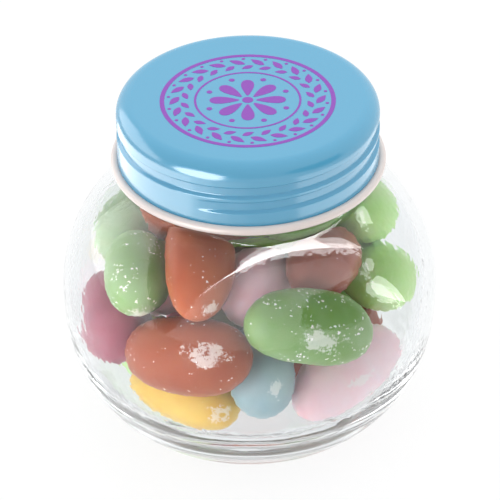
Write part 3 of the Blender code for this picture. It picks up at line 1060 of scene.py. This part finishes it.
def heading_vector(heading: float, climb: float) -> np.ndarray:
    """Unit vector for a heading and a climb in radians."""
    flat = math.cos(climb)
    return np.array([flat * math.cos(heading), flat * math.sin(heading), math.sin(climb)])


@dataclass
class SettledBeans:
    """Where the beans lie: middles and long axes, one row for each bean."""

    middles: np.ndarray
    axes: np.ndarray
    beans: list[Bean]


@dataclass
class BeanSettling:
    """The rule by which the beans settle into a heap that fits the hollow.

    Beans push each other apart and keep off the glass, while the front ones are drawn to
    their places and the others sink.
    """

    jar: JarGlass
    front: tuple[Bean, ...] = FRONT_BEANS
    arcs: tuple[BackArc, ...] = BACK_ARCS
    gap: float = 0.3
    back_length: float = 18.5
    back_width: float = 11.0
    golden_angle: float = math.radians(137.5)
    rounds: int = 400
    hold_rounds: int = 340
    hold: float = 0.06
    sink: float = 0.03
    front_give: float = 0.08
    squeeze: float = 0.97
    dent: float = 0.2

    def lay_out(self) -> SettledBeans:
        """Put every bean at its first place."""
        beans = list(self.front)
        middles = [bean.place for bean in beans]
        axes = [heading_vector(math.radians(b.heading), math.radians(b.climb)) for b in beans]
        for ring in self.arcs:
            for k, flavour in enumerate(ring.flavours):
                number = len(beans)
                bearing = math.radians(ring.first + k * ring.step)
                middles.append((ring.reach * math.cos(bearing),
                                ring.reach * math.sin(bearing), ring.height))
                axes.append(heading_vector(number * self.golden_angle,
                                           0.5 * math.sin(number)))
                beans.append(Bean(tuple(middles[-1]), 0, 0, self.back_length,
                                  self.back_width, flavour, 0.5 + 0.3 * math.cos(number),
                                  50 * number))
        return SettledBeans(np.array(middles), np.array(axes), beans)

    def wall(self) -> tuple[np.ndarray, np.ndarray]:
        """Points down the side of the hollow and the outward normal at each."""
        jar = self.jar
        lower = oval_points(jar.bore_radius, jar.bore_lower_height, jar.bore_squareness,
                            -math.pi / 2, 0.0, 91)
        upper = oval_points(jar.bore_radius, jar.bore_upper_height, 2.0, 0.0, math.pi / 2, 91)
        points = np.concatenate([lower[:-1], upper]) + (0.0, jar.equator_z)
        along = np.gradient(points, axis=0)
        normals = np.stack([along[:, 1], -along[:, 0]], axis=1)
        return points, normals / np.linalg.norm(normals, axis=1, keepdims=True)

    @staticmethod
    def nearest_on_axes(middles: np.ndarray, axes: np.ndarray, halves: np.ndarray,
                        first: np.ndarray, second: np.ndarray
                        ) -> tuple[np.ndarray, np.ndarray]:
        """Find where each pair of beans comes closest.

        Args:
            middles: Middle of each bean.
            axes: Long axis of each bean.
            halves: Half length of each bean's axis, without its round ends.
            first: The first bean of each pair.
            second: The second bean of each pair.

        Returns:
            How far along each bean's axis the closest points lie.
        """
        gap = middles[first] - middles[second]
        turn = (axes[first] * axes[second]).sum(axis=1)
        along_first = (axes[first] * gap).sum(axis=1)
        along_second = (axes[second] * gap).sum(axis=1)
        spread = np.maximum(1.0 - turn * turn, 1e-6)
        s = (turn * along_second - along_first) / spread
        s = np.clip(s, -halves[first], halves[first])
        t = np.clip(turn * s + along_second, -halves[second], halves[second])
        s = np.clip(turn * t - along_first, -halves[first], halves[first])
        return s, t

    def part_beans(self, middles: np.ndarray, axes: np.ndarray, halves: np.ndarray,
                   radii: np.ndarray, give: np.ndarray) -> None:
        """Push apart every two beans that press too far into each other.

        Args:
            middles: Middle of each bean, moved in place.
            axes: Long axis of each bean, turned in place.
            halves: Half length of each bean's axis, without its round ends.
            radii: Firm radius of each bean.
            give: How readily each bean yields.
        """
        first, second = np.triu_indices(len(middles), 1)
        s, t = self.nearest_on_axes(middles, axes, halves, first, second)
        between = (middles[first] + s[:, None] * axes[first]
                   - middles[second] - t[:, None] * axes[second])
        distance = np.maximum(np.linalg.norm(between, axis=1), 1e-6)
        overlap = np.maximum(0.0, radii[first] + radii[second] - distance - self.dent)
        push = between * (0.6 * overlap / distance)[:, None]
        share = (give[first] / (give[first] + give[second]))[:, None]
        for index, move, reach in ((first, push * share, s), (second, push * (share - 1), t)):
            lever = (reach / (halves[index] ** 2 + 8.0))[:, None]
            np.add.at(middles, index, move)
            np.add.at(axes, index, move * lever)

    def keep_inside(self, middles: np.ndarray, axes: np.ndarray, halves: np.ndarray,
                    radii: np.ndarray, outline: np.ndarray, normals: np.ndarray) -> None:
        """Bring back the ends of every bean that reach into the glass.

        Args:
            middles: Middle of each bean, moved in place.
            axes: Long axis of each bean, turned in place.
            halves: Half length of each bean's axis, without its round ends.
            radii: Firm radius of each bean.
            outline: Points down the side of the hollow.
            normals: Outward normal at each of those points.
        """
        for side in (-1, 1):
            tips = middles + side * halves[:, None] * axes
            reach = np.maximum(np.hypot(tips[:, 0], tips[:, 1]), 1e-6)
            flat = np.stack([reach, tips[:, 2]], axis=1)
            nearest = ((flat[:, None] - outline[None]) ** 2).sum(axis=-1).argmin(axis=1)
            normal = normals[nearest]
            excess = ((flat - outline[nearest]) * normal).sum(axis=1) + radii + self.gap
            back = -0.5 * np.maximum(0.0, excess)[:, None]
            outward = np.stack([normal[:, 0] * tips[:, 0] / reach,
                                normal[:, 0] * tips[:, 1] / reach, normal[:, 1]], axis=1)
            middles += back * outward
            axes += side * back * outward / np.maximum(halves, 3.0)[:, None]

    def settle(self) -> SettledBeans:
        """Let the beans settle.

        Returns:
            Where each bean comes to rest.
        """
        heap = self.lay_out()
        middles, axes = heap.middles, heap.axes
        radii = np.array([bean.width for bean in heap.beans]) / 2 * self.squeeze
        halves = np.array([bean.length for bean in heap.beans]) / 2 - radii
        front = len(self.front)
        give = np.where(np.arange(len(middles)) < front, self.front_give, 1.0)
        home, aim = middles[:front].copy(), axes[:front].copy()
        outline, normals = self.wall()
        for number in range(self.rounds):
            self.part_beans(middles, axes, halves, radii, give)
            self.keep_inside(middles, axes, halves, radii, outline, normals)
            if number < self.hold_rounds:
                middles[:front] += self.hold * (home - middles[:front])
                axes[:front] += self.hold * (aim - axes[:front])
                middles[front:, 2] -= self.sink
            axes /= np.linalg.norm(axes, axis=1, keepdims=True)
        return heap


@dataclass
class JellyBeans:
    """The beans themselves, one piece for each flavour, and the dark core of painted shade that
    they hide.
    """

    heap: SettledBeans
    base_z: float = 0.0
    along: int = 96
    around: int = 72
    fullness: float = 2.5
    blunt: float = 2.15
    heavy_end: float = 0.07
    bend: float = 0.07
    dent_size: float = 4.2
    dent_depth: float = 0.09
    core_half: tuple[float, float, float] = (9.0, 9.0, 8.0)
    core_z: float = 22.0
    tree: ShapeTree | None = None

    def bean_shape(self) -> bpy.types.Mesh:
        """Make one bean of half length 1 along Z: full-bodied, bent, with a heavy end."""
        level = np.cos(np.linspace(0.0, math.pi, self.along + 1))[1:-1]
        girth = (1.0 - np.abs(level) ** self.fullness) ** (1.0 / self.blunt)
        girth = girth * (1.0 + self.heavy_end * level)
        turn = np.linspace(0.0, 2 * math.pi, self.around, endpoint=False)
        bow = self.bend * (0.4 - level ** 2)
        rings = np.stack([girth[:, None] * np.cos(turn) * 0.98 + bow[:, None] * 2.0,
                          girth[:, None] * np.sin(turn),
                          np.repeat(level[:, None], self.around, axis=1)], axis=-1)
        return turned_mesh("bean_shape", rings / MM, (True, True))

    def plant_tree(self) -> ShapeTree:
        """Build the tree that puts a bean at each point, dents its shell and stores how near each
        point lies to the bean's painted highlight spot.
        """
        tree = ShapeTree("scatter_beans")
        shape = tree.declare("Bean", "NodeSocketObject")
        dent_size = tree.declare("Dent frequency", "NodeSocketFloat")
        dent_depth = tree.declare("Dent depth", "NodeSocketFloat")
        seed = tree.declare("Seed", "NodeSocketFloat")
        shell = tree.declare("Shell", "NodeSocketMaterial")
        turn = tree.add("GeometryNodeInputNamedAttribute", {"data_type": "FLOAT_VECTOR"},
                        Name="turn")
        size = tree.add("GeometryNodeInputNamedAttribute", {"data_type": "FLOAT_VECTOR"},
                        Name="size")
        rotation = tree.add("FunctionNodeEulerToRotation", Euler=turn.outputs["Attribute"])
        info = tree.add("GeometryNodeObjectInfo", Object=shape)
        spread = tree.add("GeometryNodeInstanceOnPoints", Points=tree.geometry,
                          Instance=info.outputs["Geometry"],
                          Rotation=rotation.outputs["Rotation"],
                          Scale=size.outputs["Attribute"])
        real = tree.add("GeometryNodeRealizeInstances", Geometry=spread.outputs["Instances"])
        noise = tree.add("ShaderNodeTexNoise", {"noise_dimensions": "4D"},
                         Scale=dent_size, W=seed, Detail=2.0, Roughness=0.45)
        centred = tree.add("ShaderNodeMath", {"operation": "SUBTRACT"},
                           in0=noise.outputs["Fac"], in1=0.5)
        depth = tree.add("ShaderNodeMath", {"operation": "MULTIPLY"},
                         in0=centred.outputs["Value"], in1=dent_depth)
        normal = tree.add("GeometryNodeInputNormal")
        offset = tree.add("ShaderNodeVectorMath", {"operation": "SCALE"},
                          Vector=normal.outputs["Normal"], Scale=depth.outputs["Value"])
        dented = tree.add("GeometryNodeSetPosition", Geometry=real.outputs["Geometry"],
                          Offset=offset.outputs["Vector"])
        # Painted highlight: nearness of each point to its bean's highlight spot, stretched along
        # the bean.
        spot = tree.add("GeometryNodeInputNamedAttribute", {"data_type": "FLOAT_VECTOR"},
                        Name="rub_place")
        across = tree.add("GeometryNodeInputNamedAttribute", {"data_type": "FLOAT"},
                          Name="rub_size")
        lie = tree.add("GeometryNodeInputNamedAttribute", {"data_type": "FLOAT_VECTOR"},
                       Name="lie")
        place = tree.add("GeometryNodeInputPosition")
        offset_to_spot = tree.add("ShaderNodeVectorMath", {"operation": "SUBTRACT"},
                                  in0=place.outputs["Position"],
                                  in1=spot.outputs["Attribute"])
        along = tree.add("ShaderNodeVectorMath", {"operation": "DOT_PRODUCT"},
                         in0=offset_to_spot.outputs["Vector"], in1=lie.outputs["Attribute"])
        eased = tree.add("ShaderNodeVectorMath", {"operation": "SCALE"},
                         Vector=lie.outputs["Attribute"], Scale=along.outputs["Value"])
        pressed = tree.add("ShaderNodeVectorMath", {"operation": "MULTIPLY_ADD"},
                           in0=eased.outputs["Vector"], in1=(-0.55, -0.55, -0.55),
                           in2=offset_to_spot.outputs["Vector"])
        away = tree.add("ShaderNodeVectorMath", {"operation": "LENGTH"},
                        in0=pressed.outputs["Vector"])
        nearness = tree.add("ShaderNodeMapRange", Value=away.outputs["Value"],
                            From_Min=0.0, From_Max=across.outputs["Attribute"],
                            To_Min=1.0, To_Max=0.0)
        marked = tree.add("GeometryNodeStoreNamedAttribute",
                          {"data_type": "FLOAT", "domain": "POINT"},
                          Geometry=dented.outputs["Geometry"], Name="rub",
                          Value=nearness.outputs["Result"])
        smooth = tree.add("GeometryNodeSetShadeSmooth", Geometry=marked.outputs["Geometry"])
        tree.finish(smooth.outputs["Geometry"], shell)
        return tree

    def painted_highlight_spot(self, number: int) -> np.ndarray:
        """Where a bean's painted highlight sits on its shell, in millimetres.

        Args:
            number: The bean's place in the heap.

        Returns:
            The point of its shell that lies in the direction of its painted highlight.
        """
        bean, axis = self.heap.beans[number], self.heap.axes[number]
        bearing, climb = math.radians(bean.rub[0]), math.radians(bean.rub[1])
        way = np.array([math.cos(climb) * math.sin(bearing),
                        -math.cos(climb) * math.cos(bearing), math.sin(climb)])
        along = way @ axis
        across = math.sqrt(max(1.0 - along * along, 0.0))
        reach = math.hypot(2 * along / bean.length, 2 * across / bean.width)
        return self.heap.middles[number] + way / reach

    def places(self, flavour: Flavour) -> bpy.types.Mesh:
        """Points at the middles of a flavour's beans, with their turns, sizes and looks.

        Args:
            flavour: Which beans to place.

        Returns:
            A mesh of points with each bean's turn, size, tone, sugar share and painted highlight
            spot.
        """
        rows = [i for i, bean in enumerate(self.heap.beans) if bean.flavour is flavour]
        mesh = bpy.data.meshes.new("places_" + flavour.value)
        lift = np.array((0.0, 0.0, self.base_z))
        mesh.from_pydata([tuple((self.heap.middles[i] + lift) * MM) for i in rows], [], [])
        turns, sizes, lies, tones, sugars, spots, spans = [], [], [], [], [], [], []
        for i in rows:
            bean = self.heap.beans[i]
            lie = Vector(self.heap.axes[i]).to_track_quat("Z", "Y")
            turn = lie.to_matrix() @ Matrix.Rotation(math.radians(bean.roll), 3, "Z")
            turns += list(turn.to_euler())
            sizes += [bean.width / 2 * MM, bean.width / 2 * MM, bean.length / 2 * MM]
            lies += list(self.heap.axes[i])
            tones.append(bean.tone)
            sugars.append(bean.sugar)
            spots += list((self.painted_highlight_spot(i) + lift) * MM)
            spans.append(max(bean.rub[2], 0.01) * MM)
        for name, kind, values in (("turn", "FLOAT_VECTOR", turns),
                                   ("size", "FLOAT_VECTOR", sizes),
                                   ("lie", "FLOAT_VECTOR", lies),
                                   ("rub_place", "FLOAT_VECTOR", spots),
                                   ("rub_size", "FLOAT", spans),
                                   ("tone", "FLOAT", tones), ("sugar", "FLOAT", sugars)):
            attribute = mesh.attributes.new(name, kind, "POINT")
            key = "vector" if kind == "FLOAT_VECTOR" else "value"
            attribute.data.foreach_set(key, values)
        return mesh

    def build(self, flavour: Flavour) -> bpy.types.Object:
        """Build and dress all the beans of one flavour.

        Args:
            flavour: Which beans to build.

        Returns:
            Those beans as one piece.
        """
        if self.tree is None:
            self.tree = self.plant_tree()
        shape = link_object("bean_shape", self.bean_shape())
        mesh = self.tree.run(self.places(flavour), {
            "Bean": shape,
            "Dent frequency": per_metre(self.dent_size),
            "Dent depth": 2 * self.dent_depth * MM,
            "Seed": float(list(Flavour).index(flavour)),
            "Shell": SHELLS[flavour].material(),
        })
        bpy.data.objects.remove(shape)
        return link_object("beans_" + flavour.value, mesh)

    def build_core(self) -> bpy.types.Object:
        """Build the small dark core in the middle of the heap: painted shade in the gaps between
        the beans.
        """
        level = np.linspace(0.0, math.pi, 33)[1:-1]
        profile = np.stack([np.sin(level), np.cos(level)], axis=1)
        rings = spin_rings(profile, 64) * np.array(self.core_half)
        rings[..., 2] += self.core_z + self.base_z
        mesh = turned_mesh("bean_heap_core", rings, (True, True))
        mesh.materials.append(ShadeCoreFinish().material())
        return link_object("bean_heap_core", mesh)


# ---------------------------------------------------------------------- studio


class Shows(Enum):
    """Where a light panel shows: all light, satin reflections or mirror-like ones."""

    EVERYWHERE = "everywhere"
    IN_SATIN = "in satin"
    IN_GLASS = "in glass"


@dataclass(frozen=True)
class GlowPanel:
    """One soft light panel about the jar: a band between two edges.

    Each edge is a row of directions seen from the jar: degrees to the right of the front,
    and degrees up.
    """

    name: str
    glow: float
    upper: tuple[tuple[float, ...], ...]
    lower: tuple[tuple[float, ...], ...]
    distance: float = 0.8
    shows: Shows = Shows.EVERYWHERE

    def corners(self, aim: Vector) -> list[Vector]:
        """Corners of the panel in metres, along its upper edge and then its lower one."""
        points = []
        for azimuth, elevation in self.upper + self.lower:
            bearing, climb = math.radians(azimuth), math.radians(elevation)
            way = Vector((math.cos(climb) * math.sin(bearing),
                          -math.cos(climb) * math.cos(bearing), math.sin(climb)))
            points.append(aim + self.distance * way)
        return points

    def material(self) -> bpy.types.Material:
        """A lit white diffuser."""
        material = bpy.data.materials.new("white_diffuser_" + self.name)
        material.use_nodes = True
        tree = material.node_tree
        light = add_node(tree, "ShaderNodeEmission", Strength=self.glow).outputs["Emission"]
        if self.shows is not Shows.EVERYWHERE:
            path = add_node(tree, "ShaderNodeLightPath")
            share = "SUBTRACT" if self.shows is Shows.IN_SATIN else "MULTIPLY"
            seen = add_node(tree, "ShaderNodeMath", {"operation": share, "use_clamp": True},
                            in0=path.outputs["Is Glossy Ray"],
                            in1=path.outputs["Is Singular Ray"])
            clear = add_node(tree, "ShaderNodeBsdfTransparent")
            light = add_node(tree, "ShaderNodeMixShader", in0=seen.outputs["Value"],
                             in1=clear.outputs["BSDF"], in2=light).outputs["Shader"]
            material.cycles.emission_sampling = "NONE"
        tree.links.new(light, tree.nodes["Material Output"].inputs["Surface"])
        return material

    def build(self, aim: Vector) -> bpy.types.Object:
        """Hang the panel about the jar, out of the camera's sight.

        Args:
            aim: The point that the panel's directions start from.

        Returns:
            The panel.
        """
        count = len(self.upper)
        faces = [(k, k + 1, count + k + 1, count + k) for k in range(count - 1)]
        mesh = bpy.data.meshes.new(self.name)
        mesh.from_pydata(self.corners(aim), [], faces)
        mesh.materials.append(self.material())
        piece = link_object(self.name, mesh)
        piece.visible_camera = False
        return piece


@dataclass(frozen=True)
class NearCard(GlowPanel):
    """A small card beside the jar; its edges are rows of points in millimetres."""

    def corners(self, aim: Vector) -> list[Vector]:
        """Corners of the card in metres, along its upper edge and then its lower one."""
        return [Vector(point) * MM for point in self.upper + self.lower]


PANELS: tuple[GlowPanel, ...] = (
    GlowPanel("overhead_strip", 20.0,
              ((-35, 31.7), (-21, 47.6), (-13, 53), (-9, 57), (10, 63.5), (34, 65),
               (59, 62), (74, 55)),
              ((-35, 31.3), (-21, 46.8), (-12, 51.8), (-5, 55.2), (12, 59.4), (33, 60.2),
               (52, 56.8), (77, 44)), shows=Shows.IN_GLASS),
    GlowPanel("overhead_strip_end", 9.0,
              ((74, 55), (82, 49.4), (89, 42), (91, 35), (93, 27.4)),
              ((77, 44), (79, 41.7), (85, 36), (89, 31.5), (93, 27)),
              shows=Shows.IN_GLASS),
    GlowPanel("overhead_strip_edge", 7.0,
              ((-11, 58.6), (5, 65.3), (26, 67), (52, 64.7), (59, 62.6)),
              ((-9, 57), (10, 63.6), (34, 65.1), (52, 63.2), (59, 62)),
              shows=Shows.IN_GLASS),
    GlowPanel("front_screen", 1.6,
              ((-50, -2), (-44, 5), (-35, 31), (-21, 46), (-5, 52.5), (12, 54), (33, 53),
               (52, 48.5), (77, 37)),
              ((-50, -2.1), (-44, -2.1), (-32, -2.1), (-20, -2.1), (-5, -2.1), (12, -2.1),
               (33, -2.1), (52, -2.1), (72, -2.1)), shows=Shows.IN_GLASS),
    GlowPanel("camera_flag", 0.1,
              ((34.6, 24.6), (41, 29), (51, 28), (69, 25), (80, 21)),
              ((28.5, 12), (40, 4), (57, -3), (71, -3), (80, 2)), 0.6),
    GlowPanel("left_screen", 2.0,
              ((-57, 2), (-66, 16), (-77, 28), (-90, 40), (-110, 50), (-130, 50)),
              ((-57, -2.1), (-66, -2.1), (-77, -2.1), (-90, -2.1), (-110, -2.1),
               (-130, -2.1)), shows=Shows.IN_GLASS),
    GlowPanel("side_pane", 6.0, ((89.4, 23), (92, 20), (90.4, 17), (87, 16)),
              ((86, 23), (85, 21), (84.5, 18.5), (84.4, 17.7)), shows=Shows.IN_GLASS),
    GlowPanel("side_window", 6.0, ((122, 28.6), (118, 26), (112, 24)),
              ((119, 33), (113, 32), (108, 30.5)), shows=Shows.IN_GLASS),
    NearCard("side_card", 7.0,
             ((112, -20, 57), (115, -14, 48), (116, -8, 35), (116, -1, 20), (113, 5, 5)),
             ((111, -30, 57), (111, -34, 52), (113, -32, 42), (116, -23, 31), (113, 4, 5)),
             shows=Shows.IN_GLASS),
    NearCard("lid_card", 9.0,
             ((-91, -59, 53), (-85, -65, 74), (-62, -82, 90), (-45, -96, 81),
              (-34, -103, 73)),
             ((-86, -59, 32), (-76, -68, 22), (-61, -80, 17), (-43, -93, 20),
              (-35, -102, 35)), shows=Shows.IN_SATIN),
    NearCard("left_card", 4.0,
             ((-55, 75, 1), (-64, 30, 1), (-66, -5, 1), (-58, -34, 1), (-50, -48, 1)),
             ((-110, 110, 1), (-135, 40, 1), (-135, -20, 1), (-110, -68, 1), (-90, -88, 1)),
             shows=Shows.IN_SATIN),
    NearCard("left_card_side", 2.7, ((-50, -48, 1), (-37, -64, 1)),
             ((-90, -88, 1), (-66, -110, 1)), shows=Shows.IN_SATIN),
    NearCard("left_card_edge", 1.9, ((-37, -64, 1), (-21, -74, 1)),
             ((-66, -110, 1), (-37, -127, 1)), shows=Shows.IN_SATIN),
    NearCard("left_card_rim", 1.4, ((-21, -74, 1), (-2, -79, 1)),
             ((-37, -127, 1), (-5, -135, 1)), shows=Shows.IN_SATIN),
    NearCard("right_card", 2.3, ((50, -62, 1), (62, -30, 1), (66, 15, 1), (58, 60, 1)),
             ((85, -105, 1), (120, -60, 1), (130, 20, 1), (105, 95, 1)),
             shows=Shows.IN_SATIN),
    GlowPanel("left_wall", 3.0,
              ((-75, 12), (-90, 26), (-110, 36), (-140, 40)),
              ((-75, -2), (-90, -2), (-110, -2), (-140, -2)), 0.6,
              shows=Shows.IN_SATIN),
)


@dataclass
class Studio:
    """Pale light table, soft panels, grey-white surroundings and the camera, in metres."""

    aim: tuple[float, float, float] = (0.00009, 0.0, 0.02964)
    camera_elevation: float = 34.625
    camera_distance: float = 0.480
    camera_roll: float = -0.652
    lens: float = 215.94
    floor_half: float = 4.0
    floor_drop: float = 0.0001
    floor_colour: str = "5A5A5A"
    floor_glow: float = 0.9
    tent_front: str = "C8CACC"
    tent_back: str = "F6F9FA"
    tent_facing: tuple[float, float, float] = (0.35, 0.85, -0.1)
    tent_glow: float = 1.75
    tent_mirrored: float = 0.6
    light_bounces: int = 40
    panels: tuple[GlowPanel, ...] = PANELS

    def place_camera(self) -> None:
        """Create the camera, look at the aim and make it the scene's camera."""
        elevation = math.radians(self.camera_elevation)
        aim = Vector(self.aim)
        eye = aim + self.camera_distance * Vector((0.0, -math.cos(elevation),
                                                   math.sin(elevation)))
        ahead = (aim - eye).normalized()
        right = Vector((1.0, 0.0, 0.0))
        up = right.cross(ahead)
        roll = math.radians(self.camera_roll)
        side = math.cos(roll) * right + math.sin(roll) * up
        head = -math.sin(roll) * right + math.cos(roll) * up
        turn = Matrix((side, head, -ahead)).transposed()
        data = bpy.data.cameras.new("camera")
        data.lens = self.lens
        data.sensor_width = 36.0
        data.clip_start = 0.01
        camera = bpy.data.objects.new("camera", data)
        camera.matrix_world = Matrix.Translation(eye) @ turn.to_4x4()
        bpy.context.scene.collection.objects.link(camera)
        bpy.context.scene.camera = camera

    def lay_floor(self) -> bpy.types.Object:
        """Lay the pale light table just under the jar."""
        half, z = self.floor_half, -self.floor_drop
        mesh = bpy.data.meshes.new("studio_floor")
        mesh.from_pydata([(-half, -half, z), (half, -half, z), (half, half, z),
                          (-half, half, z)], [], [(0, 1, 2, 3)])
        material, _, shader = new_material("matt_opal_acrylic_board")
        shader.inputs["Base Color"].default_value = srgb(self.floor_colour)
        shader.inputs["Roughness"].default_value = 0.9
        shader.inputs["Specular IOR Level"].default_value = 0.0
        shader.inputs["Emission Color"].default_value = srgb("FFFFFF")
        shader.inputs["Emission Strength"].default_value = self.floor_glow
        mesh.materials.append(material)
        return link_object("studio_floor", mesh)

    def surround(self) -> None:
        """Surround the jar with a white tent: bright behind it and to its left."""
        world = bpy.data.worlds.new("white_tent")
        world.use_nodes = True
        tree = world.node_tree
        background = tree.nodes["Background"]
        place = add_node(tree, "ShaderNodeTexCoord")
        facing = add_node(tree, "ShaderNodeVectorMath", {"operation": "DOT_PRODUCT"},
                          in0=place.outputs["Generated"], in1=self.tent_facing)
        level = add_node(tree, "ShaderNodeMapRange", Value=facing.outputs["Value"],
                         From_Min=-0.9, From_Max=0.6)
        shade = add_node(tree, "ShaderNodeMix", {"data_type": "RGBA"},
                         in0=level.outputs["Result"], in6=srgb(self.tent_front),
                         in7=srgb(self.tent_back))
        tree.links.new(shade.outputs[2], background.inputs["Color"])
        path = add_node(tree, "ShaderNodeLightPath")
        strength = add_node(tree, "ShaderNodeMapRange", Value=path.outputs["Diffuse Depth"],
                            To_Min=self.tent_glow * self.tent_mirrored,
                            To_Max=self.tent_glow)
        tree.links.new(strength.outputs["Result"], background.inputs["Strength"])
        world.cycles.sampling_method = "NONE"
        bpy.context.scene.world = world

    def let_light_through(self) -> None:
        """Let light bounce often enough to leave the jar's thick base, and show it plainly."""
        scene = bpy.context.scene
        scene.cycles.max_bounces = self.light_bounces
        scene.cycles.transmission_bounces = self.light_bounces
        scene.cycles.glossy_bounces = self.light_bounces
        scene.view_settings.view_transform = "Standard"

    def build(self) -> list[bpy.types.Object]:
        """Set up the whole studio.

        Returns:
            The floor and the light panels.
        """
        self.place_camera()
        self.surround()
        self.let_light_through()
        aim = Vector(self.aim)
        return [self.lay_floor()] + [panel.build(aim) for panel in self.panels]


# ---------------------------------------------------------------------- assembly


def report(piece: bpy.types.Object) -> None:
    """Log a piece's name and how many triangles it has."""
    triangles = sum(len(face.vertices) - 2 for face in piece.data.polygons)
    log.info("%s: %d triangles", piece.name, triangles)


def mount(piece: bpy.types.Object, node: CadNode) -> None:
    """Hand a finished piece over to the frame.

    Args:
        piece: The piece, in place.
        node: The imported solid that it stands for.
    """
    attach(piece, "root")
    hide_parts(node.value)
    report(piece)


def main() -> None:
    """Build the jar, the lid, its print, the beans and the studio, in that order."""
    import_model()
    base_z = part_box(CadNode.JAR.value)[0].z / MM
    top_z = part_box(CadNode.LID.value)[1].z / MM

    glass = JarGlass(base_z=base_z)
    mount(glass.build(), CadNode.JAR)

    lid = ScrewLid(top_z=top_z)
    shell, edge = lid.build()
    mount(shell, CadNode.LID)
    mount(edge, CadNode.LID)
    mount(LidPrint(top_z=top_z).build(), CadNode.LID)

    beans = JellyBeans(BeanSettling(glass).settle(), base_z=base_z)
    for flavour in Flavour:
        mount(beans.build(flavour), CadNode.HEAP)
    # The dark core is painted shade in the heap's gaps.
    mount(beans.build_core(), CadNode.HEAP)

    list(Studio().build())


if __name__ == "__main__":
    logging.basicConfig(level=logging.INFO, format="%(name)s: %(message)s")
    main()
